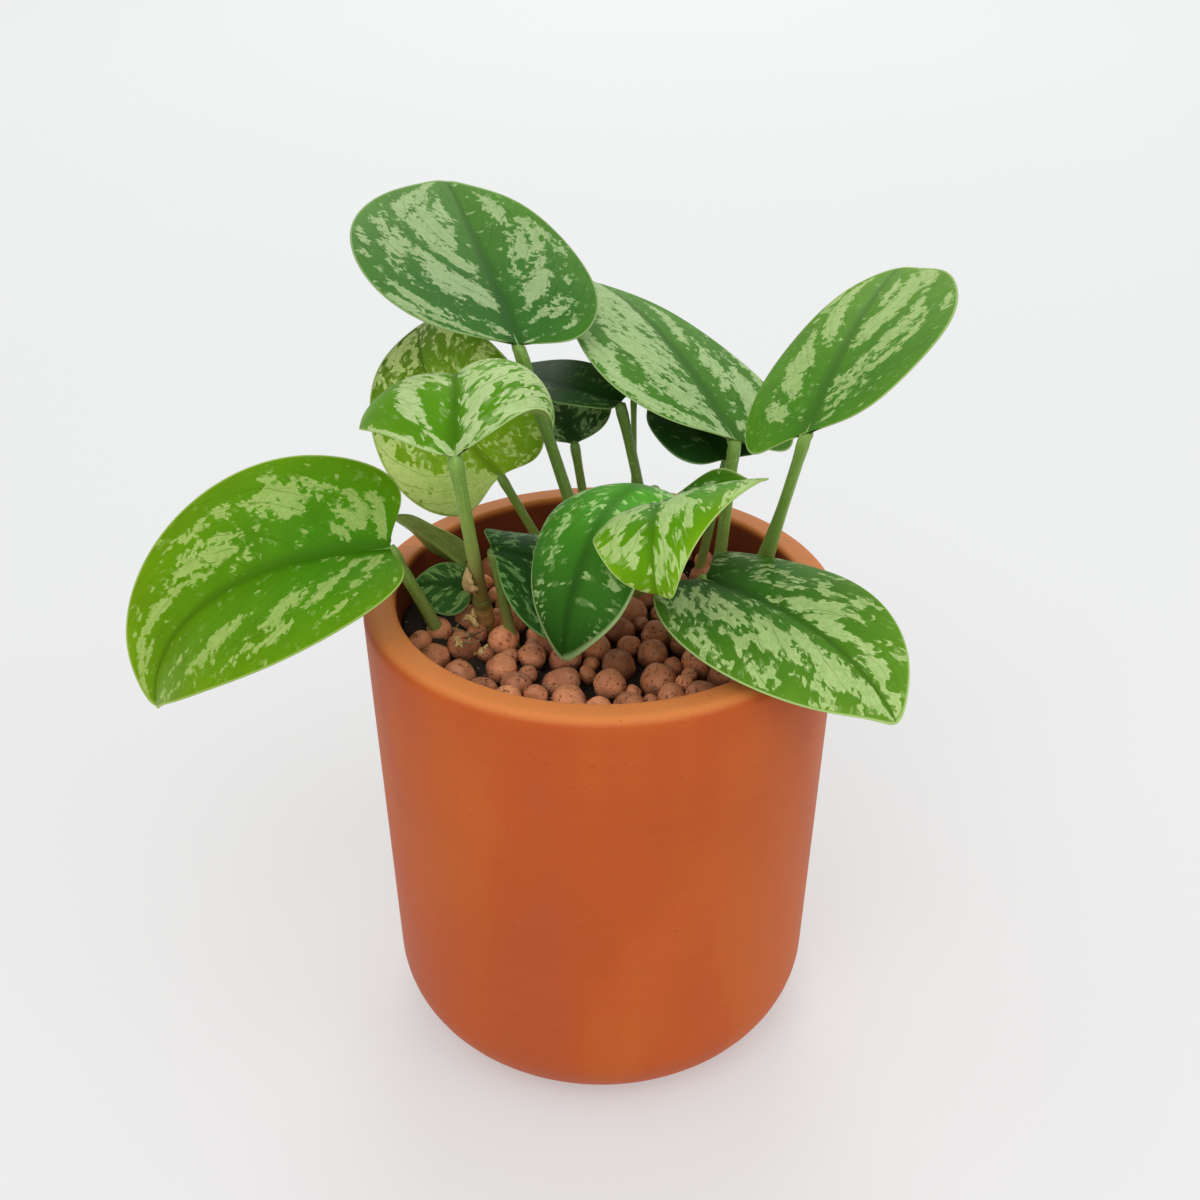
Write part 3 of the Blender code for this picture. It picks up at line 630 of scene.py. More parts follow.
def leaf_finish(colours):
    """Satin green blade with ragged silver patches between its side veins, plain olive underneath."""
    look = Look("pothos_leaf")
    across, along, seed = look.split(look.attribute("vein_place", "Vector"))
    silver, wild = look.attribute("silver"), look.attribute("wild")
    rib, edge, band = look.attribute("rib"), look.attribute("edge"), look.attribute("band")
    green, pale = look.attribute("green", "Color"), look.attribute("pale", "Color")

    def mottle(fine_across, fine_along, shift=0.0, detail=2.0, roughness=0.5):
        """Noise over the blade, with its fineness across and along the side veins."""
        spot = look.vector(across * fine_across, along * fine_along, seed + shift)
        return look.noise(spot, 1.0, detail, roughness)

    drift = mottle(0.45, 0.45)
    blotch = mottle(0.24, 0.27, 3.0, roughness=0.55)
    spot = look.vector(across + drift * 0.7 + seed, along + drift * 0.4, 0.0)
    cell = look.blocks(spot)
    small = look.blocks(spot, 2.1)
    teeth = mottle(2.6, 1.2, 9.0, roughness=0.6)
    level = silver + (blotch - 0.5) * wild + (cell - 0.5) * BLOCKS + (small - 0.5) * FINE_BLOCKS
    level = level + (teeth - 0.5) * TEETH - (rib / band).bell(1.3) * RIB_SHADE
    inland = edge.step(*INLAND_STEP)
    patch = level.step(*SILVER_STEP) * inland
    halo = level.step(*HALO_STEP) * inland

    vein_at = (look.attribute("vein") / VEIN_SPACING + drift * 0.5).fraction() - 0.5
    vein = vein_at.bell(0.045) * rib.step(1.0, 4.0) * blotch.step(0.38, 0.56)
    cloud = mottle(0.16, 0.22, 21.0, detail=3.0)
    grain = mottle(3.2, 2.6, 30.0)

    bright = look.mix(pale, green, (grain - 0.42).clamp() * 0.9 + (cell - 0.5).clamp() * 0.35)
    top = look.layers(
        green,
        (look.dim(green, 0.66), (cloud - 0.5) * 1.4 + 0.25),
        (look.dim(green, 0.58), (rib / band).bell(2.2) * 0.85),
        (pale, halo * 0.22 + (grain - 0.5) * 0.10),
        (bright, patch * (1.0 - vein * 0.5)),
        (look.dim(green, 0.5), vein * 0.30),
        (look.dim(pale, 1.05), (1.0 - edge.step(0.20, 0.65)) * 0.8),
    )

    olive = tuple(colours.underside)
    raised = vein_at.bell(0.09) * rib.step(0.6, 3.0)
    below = look.mix(shade(olive, 0.82), shade(olive, 1.5), (halo * 0.30 + cloud * 0.9 - 0.2).clamp())
    below = look.mix(below, shade(olive, 1.6), raised * 0.5 + rib.bell(1.6) * 0.6)
    colour = look.mix(below, top, look.attribute("upper"))

    height = (1.0 - vein) * 0.30 + cloud * 0.5 + grain * 0.08
    normal = look.bump(height, 0.0005, 0.5)
    roughness = 0.44 - patch * 0.05 + (grain - 0.5) * 0.12
    return look.finish(colour, roughness, normal, specular_ior_level=0.045)


def stalk_finish(colours):
    """Green leaf stalk with fine lengthwise lines, yellower and browner near the soil."""
    look = Look("pothos_stalk")
    around, along, seed = look.split(look.attribute("vein_place", "Vector"))
    tone, foot = look.attribute("tone"), look.attribute("foot")
    lines = look.noise(look.vector(around * 2.2, along / 14.0, seed), detail=3.0)
    flecks = look.noise(look.vector(around * 1.2, along / 1.1, seed + 5.0), detail=2.0)
    body = tuple(colours.stalk)
    colour = look.layers(
        look.mix(shade(body, 0.55), shade(body, 1.5), (tone + (lines - 0.5)).clamp()),
        (shade(body, 2.2), flecks.step(0.60, 0.72) * 0.45),
        (STALK_FOOT, foot * 0.55),
        (STALK_BROWN, foot.step(1.0, 1.5) * 0.75),
    )
    normal = look.bump(lines * 0.6 + flecks * 0.25, 0.0003, 0.6)
    return look.finish(colour, 0.42 + flecks * 0.12, normal, specular_ior_level=0.45)


def terracotta_finish(colours):
    """Smooth fired clay with faint turning rings, cloudy firing tones and small specks, with painted light
    on the rim's top and painted shade inside.
    """
    look = Look("terracotta")
    spot = look.place()
    x, y, z = look.split(spot)
    cloud = look.noise(spot, scale=16.0, detail=3.0)
    flame = look.noise(look.vector(x * 26.0, y * 26.0, z * 9.0), detail=2.0)
    rings = look.noise(look.vector(x * 6.0, y * 6.0, z * 700.0), detail=2.0)
    specks = look.noise(spot, scale=900.0, detail=1.0)
    inside = look.attribute("inside")
    body = tuple(colours.terracotta)
    colour = look.layers(
        look.mix(shade(body, 0.84), shade(body, 1.14), (cloud + (rings - 0.5) * 0.30).clamp()),
        (CLAY_FLAME, flame.step(0.46, 0.66) * 0.30),
        (CLAY_SMOKE, flame.step(0.50, 0.34) * 0.30),
        # Painted light on the rim's top
        (CLAY_RIM_LIGHT, z.step(*RIM_LIT) * 0.8),
        (CLAY_SPECK, specks.step(0.72, 0.80) * 0.10),
        (shade(body, 0.35), specks.step(0.30, 0.22) * 0.30),
        # Painted shade over the inside of the pot
        (CLAY_INSIDE_SHADE, inside * 0.92),
    )
    normal = look.bump(rings * 0.5 + specks * 0.25, 0.00025, 0.45)
    return look.finish(colour, 0.40 + cloud * 0.16 + inside * 0.25, normal, specular_ior_level=0.11)


def pebble_finish(colours):
    """Dull fired clay pebbles with pits, dust, a tone of their own each and painted shade on their lower
    parts.
    """
    look = Look("clay_pebble")
    spot = look.place()
    tone = look.attribute("tone")
    cloud = look.noise(spot, scale=260.0, detail=3.0)
    pits = look.cells(spot, scale=820.0)
    warp = look.noise(spot, scale=420.0, detail=2.0)
    crack = look.noise(spot, scale=190.0, detail=3.0, roughness=0.6)
    grit = look.noise(spot, scale=1700.0, detail=2.0)
    body = tuple(colours.pebble)
    hole = (1.0 - pits.step(0.10, 0.30)) * warp.step(0.46, 0.58)
    split = (crack - 0.5).bell(0.012) * warp.step(0.50, 0.60)
    colour = look.layers(
        look.mix(shade(body, 0.50), shade(body, 1.30), (tone * 0.8 + (cloud - 0.5) * 1.2 + 0.1).clamp()),
        (PEBBLE_DUST, cloud.step(0.56, 0.70) * 0.45),
        (shade(body, 0.18), (hole * 0.8 + split).clamp() * 0.85),
        (PEBBLE_GRIT, grit.step(0.58, 0.72) * 0.30),
        # Painted shade on each pebble's lower part, towards its neighbours and the soil
        (shade(body, 0.10), look.attribute("damp") * 0.85),
    )
    normal = look.bump(1.0 - (hole + split).clamp() + grit * 0.35 + cloud * 0.8, 0.0006, 0.9)
    return look.finish(colour, 0.66 - cloud * 0.14, normal, specular_ior_level=0.40)


def soil_finish(colours):
    """Dark crumbly soil with pale grit."""
    look = Look("potting_soil")
    spot = look.place()
    crumb = look.noise(spot, scale=520.0, detail=4.0, roughness=0.65)
    grit = look.cells(spot, scale=360.0)
    body = tuple(colours.soil)
    colour = look.mix(shade(body, 0.5), shade(body, 2.6), crumb)
    colour = look.mix(colour, SOIL_GRIT, (1.0 - grit.step(0.14, 0.22)) * crumb.step(0.44, 0.54))
    normal = look.bump(crumb, 0.0012, 0.9)
    return look.finish(colour, 0.93 - crumb * 0.08, normal)


def stem_finish():
    """Dry, ringed stem: straw gold below, green where the stalk leaves it."""
    look = Look("ringed_stem")
    around, along, seed = look.split(look.attribute("vein_place", "Vector"))
    fibre = look.noise(look.vector(around * 3.0, along / 5.0, seed), detail=3.0)
    fleck = look.noise(look.vector(around * 1.5, along * 1.1, seed + 4.0), detail=2.0)
    colour = look.layers(
        look.mix(STEM_DARK, STEM_STRAW, (fibre * 0.8 + (fleck - 0.5) * 0.6).clamp()),
        (STEM_GREEN, (along + fibre * 5.0).step(*STEM_GREENING) * 0.85),
        (STEM_SCARRED, look.attribute("ring") * 0.75),
    )
    normal = look.bump(fibre + fleck * 0.5, 0.0004, 0.7)
    return look.finish(colour, 0.62 + fibre * 0.12, normal, specular_ior_level=0.3)


def husk_finish():
    """Papery, tan, dried leaf sheath and old roots."""
    look = Look("dry_sheath")
    spot = look.place()
    drawn = look.node("ShaderNodeMapping", {"Vector": spot, "Scale": (900.0, 900.0, 130.0)})
    fibre = look.noise(drawn, detail=3.0)
    cloud = look.noise(spot, scale=160.0, detail=2.0)
    tone = look.attribute("tone")
    colour = look.mix(HUSK_BROWN, HUSK_PALE, (fibre * 0.9 + cloud * 0.8 - 0.3).clamp())
    colour = look.mix(ROOT_DARK, colour, (tone + (cloud - 0.5) * 0.4).clamp())
    normal = look.bump(fibre, 0.0003, 0.8)
    return look.finish(colour, 0.74 + fibre * 0.1, normal)


def floor_finish(colours):
    """Pale floor that glows a little, so that the shadow on it stays soft."""
    look = Look("studio_floor")
    cloud = look.noise(look.place(), scale=3.0, detail=2.0)
    colour = look.mix(shade(colours.floor, 0.985), shade(colours.floor, 1.01), cloud)
    return look.finish(
        colour, 0.85 + cloud * 0.05, specular_ior_level=0.1,
        emission_color=(1.0, 1.0, 1.0, 1.0), emission_strength=0.33,
    )


# Meshes

ATTRIBUTE_KINDS = {1: ("FLOAT", "value"), 3: ("FLOAT_VECTOR", "vector"), 4: ("FLOAT_COLOR", "color")}


def add_piece(name, points, faces, material, node, values=None):
    """A mesh piece in the row's frame that stands for one solid; values are its surface attributes."""
    mesh = bpy.data.meshes.new(name)
    mesh.from_pydata([tuple(point) for point in points], [], faces)
    for key, value in (values or {}).items():
        value = np.asarray(value, np.float32)
        kind, field = ATTRIBUTE_KINDS[value.shape[1] if value.ndim == 2 else 1]
        mesh.attributes.new(key, kind, "POINT").data.foreach_set(field, value.ravel())
    mesh.shade_smooth()
    mesh.materials.append(material)
    made = bpy.data.objects.new(name, mesh)
    bpy.context.scene.collection.objects.link(made)
    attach(made, "root")
    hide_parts(node)
    return made


def grid_faces(rows, columns, offset=0, wrap=False, flip=False):
    """Quads between neighbouring points of a grid stored row by row."""
    faces = []
    for i in range(rows - 1):
        for j in range(columns if wrap else columns - 1):
            a, b = i * columns + j, i * columns + (j + 1) % columns
            face = (offset + a, offset + b, offset + b + columns, offset + a + columns)
            faces.append(face[::-1] if flip else face)
    return faces


def tube_mesh(points, radii, sides):
    """Points and faces of a tube around a polyline, with closed ends."""
    points = [Vector(point) for point in points]
    rings, side = [], None
    for i, point in enumerate(points):
        along = (points[min(i + 1, len(points) - 1)] - points[max(i - 1, 0)]).normalized()
        if side is None:
            side = along.orthogonal().normalized()
        side = (side - along * side.dot(along)).normalized()
        other = along.cross(side)
        for k in range(sides):
            angle = 2 * math.pi * k / sides
            rings.append(point + (side * math.cos(angle) + other * math.sin(angle)) * radii[i])
    faces = grid_faces(len(points), sides, wrap=True)
    faces.append(tuple(range(sides))[::-1])
    faces.append(tuple(range((len(points) - 1) * sides, len(points) * sides)))
    return np.array(rings), faces


def around_tube(points, sides, shift=0.0):
    """How far along a tube each of its points is, and its place for the materials' lengthwise noise."""
    run = np.repeat(np.cumsum([0.0] + [(b - a).length for a, b in zip(points, points[1:])]), sides)
    angle = np.tile(np.arange(sides) * 2 * math.pi / sides, len(points))
    return run, np.stack([np.cos(angle) * 2.0, run, np.sin(angle) * 2.0 + shift], -1)


def wander(strength, x, y, z):
    """Smooth noise of a given strength; it is the same on every run."""
    return strength * noise.noise(Vector((x, y, z)))


# Leaves


def stalk_curve(leaf):
    """Foot, middle and top of the stalk's quadratic curve, in millimetres."""
    foot = Vector((*leaf.foot, SOIL_TOP))
    top = Vector(leaf.base)
    return foot, (foot + top) / 2 + Vector((*leaf.bow, 0.0)), top


def stalk_direction(leaf):
    foot, middle, _ = stalk_curve(leaf)
    return (middle - foot).normalized()


def outline(theta, lobe):
    """Half outline of a heart-shaped blade; theta runs from pi at the sinus to 0 at the tip."""
    centre, reach = (1 - lobe) / 2, (1 + lobe) / 2
    along = centre + reach * np.cos(theta) + lobe * np.exp(-((np.pi - theta) / SINUS_WIDTH) ** 2)
    along = (along + OUTLINE_TIP * np.exp(-(theta / TIP_WIDTH) ** 2)) / (1 + OUTLINE_TIP)
    across = np.sin(theta) * (1 - OUTLINE_FULLNESS * np.cos(theta))
    return along, across * (1 - TIP_NARROWING * np.exp(-(theta / TIP_NARROWING_WIDTH) ** 2))


def arc_table(turn, length):
    """Distances along and off a line whose direction is turn(s), for s from 0 to length."""
    s = np.linspace(0.0, length, ARC_STEPS)
    angle = turn((s[1:] + s[:-1]) / 2)
    step = s[1] - s[0]
    run = np.concatenate([[0.0], np.cumsum(np.cos(angle))]) * step
    rise = np.concatenate([[0.0], np.cumsum(np.sin(angle))]) * step
    return s, run, rise


def flat_shares(leaf, u, out):
    """Shares of the length and of the half width at every place of the blade, pressed flat."""
    margin_x, margin_y = outline(np.pi * SINUS_START * (1 - u), leaf.lobe)
    rib = u ** MIDRIB_SPACING
    return rib[:, None] + (margin_x - rib)[:, None] * out ** VEIN_SWEEP, margin_y[:, None] * out


def blade_points(leaf, u, t):
    """Middle surface of the blade at rows u, from base to tip, and columns t, from right to left."""
    t = t[None, :]
    out, left = np.abs(t), t >= 0
    x, y = flat_shares(leaf, u, out)
    late_share = (1 - np.cos(np.pi * np.clip((u - leaf.waist_from) / WAIST_LENGTH, 0, 1))) / 2
    width = np.where(left, *leaf.widths) * (1 - np.where(left, *leaf.waist) * late_share[:, None])
    fold = np.radians(np.where(left, *leaf.folds))
    curl = np.radians(np.where(left, *leaf.curls))
    curl = np.where(np.abs(curl) < TINY_CURL, TINY_CURL, curl)
    side = width * (np.sin(fold + curl * y) - np.sin(fold)) / curl * np.where(left, 1, -1)
    rise = width * (np.cos(fold) - np.cos(fold + curl * y)) / curl
    near_base = np.exp(-(((u - WAVE_PLACE) / WAVE_SPAN) ** 2))[:, None]
    rise = rise + np.where(left, *leaf.wave) * out ** 2 * near_base

    droop, lift = math.radians(leaf.droop), math.radians(leaf.lift)
    ahead, behind = np.maximum(x, 0.0), np.maximum(-x, 0.0)
    s, run, fall = arc_table(lambda v: -droop * v ** leaf.late, ARC_AHEAD)
    s_back, run_back, rise_back = arc_table(lambda v: lift * (1 - np.exp(-v / LIFT_LENGTH)), ARC_BEHIND)
    bend = -droop * ahead ** leaf.late - lift * (1 - np.exp(-behind / LIFT_LENGTH))
    rib_x = leaf.length * (np.interp(ahead, s, run) - np.interp(behind, s_back, run_back))
    rib_z = leaf.length * (np.interp(ahead, s, fall) + np.interp(behind, s_back, rise_back))

    twist = math.radians(leaf.twist) * x
    side, rise = side * np.cos(twist) - rise * np.sin(twist), side * np.sin(twist) + rise * np.cos(twist)
    local = np.stack([rib_x - rise * np.sin(bend), side, rib_z + rise * np.cos(bend)], -1)
    turn = (
        Matrix.Rotation(math.radians(leaf.heading), 3, "Z")
        @ Matrix.Rotation(-math.radians(leaf.pitch), 3, "Y")
        @ Matrix.Rotation(math.radians(leaf.roll), 3, "X")
    )
    return local @ np.array(turn).T + np.array(leaf.base)


def sheet_normals(grid):
    """Unit normals of a grid of points, towards the blade's upper face."""
    down = np.gradient(grid, axis=0)
    over = np.gradient(grid, axis=1)
    normal = np.cross(down, over)
    size = np.linalg.norm(normal, axis=-1, keepdims=True)
    normal = normal / np.maximum(size, 1e-9)
    normal[-1] = normal[-2, grid.shape[1] // 2]
    return normal


def vein_start(u, out):
    """Where along the midrib the side vein through a place leaves it."""
    return u - VEIN_SLANT * out - VEIN_BEND * out ** 2


def silver_level(leaf, marking, u, t):
    """Silver over the blade, from 0 to 1: each half's level, then its placed patches with soft edges."""
    out = np.abs(t)[None, :]
    vein = vein_start(u[:, None], out)
    level = np.where(t >= 0, *marking.level)[None, :] + 0 * vein
    halves = ((t >= 0, marking.left, leaf.widths[0]), (t < 0, marking.right, leaf.widths[1]))
    for half, patches, width in halves:
        for patch in patches:
            start, end, inner, outer = (value / 100 for value in patch[:4])
            strength = patch[4] if len(patch) > 4 else marking.firm
            along = np.maximum(start - vein, vein - end) * leaf.length
            gap = np.maximum(along, np.maximum(inner - out, out - outer) * width) + marking.inset
            share = np.clip(0.5 - gap / (2 * PATCH_EDGE), 0, 1)
            if strength > 0:
                changed = np.maximum(level, share * strength)
            else:
                changed = level * (1 - ISLAND_STRENGTH * share)
            level = np.where(half[None, :], changed, level)
    return level


def blade_colours(marking, u, t):
    """The green and the silver at every place of the blade; the tip and the margins are lit yellower, and
    painted shade darkens the base, or the tip where that setting is negative.
    """
    out = np.abs(t)[None, :]
    strength, start, run = LIT_TIP
    lit = strength * np.clip((u[:, None] - start) / run, 0, 1) + LIT_MARGIN * out ** 3
    lit = np.clip(lit, 0, 1)[..., None]
    green, tip, silver = (np.array(paint(each)) for each in (marking.green, marking.tip, marking.silver))
    # Painted shade towards the base, or towards the tip where the setting is negative
    away = u / DARK_BASE if marking.painted_shade >= 0 else (1 - u) / DARK_TIP
    dark = abs(marking.painted_shade) * np.exp(-away ** 2)[:, None, None]
    body = green + (tip - green) * lit
    pale = silver + (tip - green) * lit * LIT_SILVER
    return body * (1 - dark), pale * (1 - dark * DARK_SILVER)


def build_blade(leaf, sizes, material):
    """The blade's two faces with a thin margin, a groove over the midrib and a ridge under it."""
    marking = MARKINGS[leaf.name]
    u = np.linspace(0.0, 1.0, sizes.blade_rows)
    half = 1 - (1 - np.linspace(0.0, 1.0, sizes.blade_columns)) ** COLUMN_CROWDING
    t = np.concatenate([-half[::-1], half[1:]])
    grid = blade_points(leaf, u, t)
    normal = sheet_normals(grid)
    order = LEAVES.index(leaf)
    out = np.abs(t)[None, :]
    ripple = np.sin(u[:, None] * MARGIN_WAVES + order * 1.7 + 2.0 * np.sign(t)[None, :])
    wave = out ** 3 * ripple * np.sin(np.pi * u)[:, None]
    grid = grid + normal * (wave * sizes.margin_wave / MM)[..., None]

    _, margin_y = outline(np.pi * SINUS_START * (1 - u), leaf.lobe)
    width = np.where(t >= 0, *leaf.widths)[None, :]
    off = out * width * margin_y[:, None]
    inner = (1 - out) * width * margin_y[:, None]
    body, thin = sizes.blade_thickness / MM / 2, sizes.margin_thickness / MM / 2
    thick = thin + (body - thin) * (1 - np.exp(-inner / MARGIN_RUN))
    fade = (1 - u[:, None]) ** RIB_FADE
    groove = GROOVE[0] * fade * np.exp(-(off / GROOVE[1]) ** 2)
    ridge = sizes.midrib_height / MM * fade * np.exp(-(off / RIDGE_WIDTH) ** 2)
    above = grid + normal * (thick - groove)[..., None]
    under = grid - normal * (thick + ridge)[..., None]

    rows, columns = len(u), len(t)
    count = rows * columns
    points = np.concatenate([above.reshape(-1, 3), under.reshape(-1, 3)]) * MM
    faces = grid_faces(rows, columns) + grid_faces(rows, columns, offset=count, flip=True)
    border = [i * columns for i in range(rows)] + [i * columns + columns - 1 for i in range(rows)][::-1]
    for a, b in zip(border, border[1:] + border[:1]):
        faces.append((a, a + count, b + count, b))

    flat_x, flat_y = flat_shares(leaf, u, out)
    flat_x, flat_y = flat_x * leaf.length, flat_y * width
    turn = math.radians(BLOCK_TURN)
    across = (flat_x * math.sin(turn) - flat_y * math.cos(turn)) / marking.cell[0]
    along = (flat_x * math.cos(turn) + flat_y * math.sin(turn)) / marking.cell[1]
    seed = np.full_like(across, order * LEAF_SEED) + np.where(t[None, :] >= 0, 0.0, HALF_SEED)
    green, pale = blade_colours(marking, u, t)

    def both(value):
        """The same values on the upper and the under face."""
        flat = np.broadcast_to(value, (rows, columns, *np.shape(value)[2:])).reshape(count, -1)
        return np.concatenate([flat, flat])

    def opaque(colour):
        return both(np.concatenate([colour, np.ones((rows, columns, 1))], -1))

    values = {
        "vein_place": both(np.stack([across, along, seed], -1)),
        "silver": both(silver_level(leaf, marking, u, t)),
        "wild": both(marking.wild),
        "vein": both(vein_start(u[:, None], out) * leaf.length),
        "green": opaque(green),
        "pale": opaque(pale),
        "band": both(marking.band * (BAND_START - u[:, None])),
        "rib": both(off),
        "edge": both(inner),
        "upper": np.concatenate([np.ones(count), np.zeros(count)]),
    }
    made = add_piece(leaf.name + "_blade", points, faces, material, leaf.name, values)
    weld = bmesh.new()
    weld.from_mesh(made.data)
    bmesh.ops.remove_doubles(weld, verts=weld.verts, dist=WELD_REACH)
    bmesh.ops.recalc_face_normals(weld, faces=weld.faces)
    weld.to_mesh(made.data)
    weld.free()


def build_stalk(leaf, material):
    """The stalk from the soil up into the underside of the blade, where it thins into the midrib."""
    foot, middle, top = stalk_curve(leaf)
    along = stalk_direction(leaf)
    total = (top - foot).length
    on_stem = leaf.name == STEM_LEAF
    first = (STEM_HEIGHT - STEM_OVERLAP) / total if on_stem else 0.0
    widen, reach = FOOT_SHEATHS.get(leaf.name, FOOT_SHEATH)
    points, radii = [], []
    if not on_stem:
        points.append(foot - along * STALK_SINK)
        radii.append(leaf.stalk[0] * 1.05)
    for s in np.linspace(first, STALK_END, STALK_RINGS).tolist():
        points.append((1 - s) ** 2 * foot + 2 * s * (1 - s) * middle + s ** 2 * top)
        radius = leaf.stalk[0] + (leaf.stalk[1] - leaf.stalk[0]) * min(1.0, STALK_TAPER * s)
        sheath = widen * math.exp(-(s / reach) ** 2) * (0.0 if on_stem else 1.0)
        knee = KNEE[0] * math.exp(-((s - KNEE[1]) / KNEE[2]) ** 2)
        radii.append(radius * (1 + sheath + knee))
    rows = np.array([row for row, _ in RIB_END] + [0.3])     # the last row serves the normals alone
    rib = blade_points(leaf, rows, np.array([-0.03, 0.0, 0.03]))
    normal = sheet_normals(rib)
    for i, (_, share) in enumerate(RIB_END):
        radius = leaf.stalk[1] * share
        points.append(Vector(rib[i, 1] - normal[i, 1] * radius * 0.8))
        radii.append(radius)
    rings, faces = tube_mesh(points, radii, STALK_SIDES)
    run, place = around_tube(points, STALK_SIDES, LEAVES.index(leaf) * STALK_SEED)
    height, spread, fade = FOOT_TONE
    level = np.exp(-np.maximum(run - height - spread * reach, 0.0) / fade)
    level = level + on_stem * np.exp(-(run / STEM_TONE_FADE) ** 2)
    pale = (MARKINGS[leaf.name].green[1] - STALK_TONE[0]) / STALK_TONE[1]
    tone = np.full(len(rings), 0.25 + 0.5 * max(0.0, min(1.0, pale)))
    values = {"vein_place": place, "tone": tone, "foot": level}
    add_piece(leaf.name + "_stalk", rings * MM, faces, material, leaf.name, values)


# Pot


def quarter(centre, across, up, start, steps):
    """Points of a quarter ellipse from the start angle in degrees, turning clockwise."""
    angles = [math.radians(start - 90.0 * i / steps) for i in range(steps + 1)]
    return [(centre[0] + across * math.cos(a), centre[1] + up * math.sin(a)) for a in angles]


def inner_radius(height):
    """Inner wall radius of the pot at a height; the wall keeps one thickness."""
    share = (height - FOOT_FILLET_UP) / (POT_HEIGHT - FOOT_FILLET_UP)
    return FOOT_RADIUS + (RIM_RADIUS - FOOT_RADIUS) * share - WALL


def pot_profile():
    """Section of the pot, from the middle of its inner floor over the rim to the middle of its underside."""
    top, inside = POT_HEIGHT, inner_radius(POT_HEIGHT)
    corner = FLOOR_THICKNESS + FLOOR_FILLET
    radius = inner_radius(corner)
    on_bowl, on_wall, on_lip, on_shoulder, on_side, on_foot = POT_STEPS
    bowl = quarter((radius - FLOOR_FILLET, corner), FLOOR_FILLET, FLOOR_FILLET, 0.0, on_bowl)[::-1]
    wall = [(inner_radius(h), h) for h in np.linspace(corner + 12.0, top - RIM_INNER_EDGE - 1.0, on_wall)]
    edge = RIM_INNER_EDGE
    lip = quarter((inside + edge, top - edge), edge, edge, 180.0, on_lip)
    shoulder = quarter((RIM_RADIUS - RIM_EDGE, top - RIM_EDGE), RIM_EDGE, RIM_EDGE, 90.0, on_shoulder)
    across, up = FOOT_FILLET_ACROSS, FOOT_FILLET_UP
    side = [
        (FOOT_RADIUS + (RIM_RADIUS - FOOT_RADIUS) * share, up + (top - RIM_EDGE - up) * share)
        for share in np.linspace(0.97, 0.03, on_side)
    ]
    foot = quarter((FOOT_RADIUS - across, up), across, up, 0.0, on_foot)
    return [(0.0, FLOOR_THICKNESS)] + bowl + wall + lip + shoulder + side + foot + [(0.0, 0.0)]


def turned_mesh(profile, sides):
    """Points and faces of a solid of revolution about +Z; its profile starts and ends on the axis."""
    points = [(0.0, 0.0, profile[0][1])]
    for radius, height in profile[1:-1]:
        for k in range(sides):
            angle = 2 * math.pi * k / sides
            points.append((radius * math.cos(angle), radius * math.sin(angle), height))
    points.append((0.0, 0.0, profile[-1][1]))
    rings = len(profile) - 2
    faces = grid_faces(rings, sides, offset=1, wrap=True, flip=True)
    last = len(points) - 1
    for k in range(sides):
        faces.append((0, 1 + k, 1 + (k + 1) % sides))
        a = 1 + (rings - 1) * sides
        faces.append((last, a + (k + 1) % sides, a + k))
    return np.array(points), faces


# Pebbles and soil


def try_ball(placed, draw, size, spacing):
    """Draw a place inside the wall for one ball, and keep it where the balls before leave it room."""
    reach = inner_radius(SOIL_TOP) - size - PEBBLE_WALL_GAP
    radius, angle = reach * math.sqrt(draw.random()), draw.uniform(0, 2 * math.pi)
    x, y = radius * math.cos(angle), radius * math.sin(angle)
    if all(math.hypot(x - px, y - py) > spacing * (size + ps) for px, py, ps in placed):
        placed.append((x, y, size))


def pebble_places():
    """Seeded places and sizes for one close layer of pebbles inside the wall."""
    draw = np.random.default_rng(SEED)
    small, large = PEBBLE_RADII
    placed = []
    for attempt in range(PEBBLE_TRIES):
        size = large - (large - small) * min(1.0, PEBBLE_SHRINK * attempt / PEBBLE_TRIES)
        try_ball(placed, draw, size * draw.uniform(*PEBBLE_SIZE_SPREAD), PEBBLE_SPACING)
    return placed, draw


def filling_places(places, draw):
    """Small balls for the gaps between the pebbles."""
    placed = [(x, y, size * PEBBLE_SHARE) for x, y, size in places]
    for _ in range(FILLING_TRIES):
        try_ball(placed, draw, draw.uniform(*FILLING_RADII), FILLING_SPACING)
    return placed[len(places):]


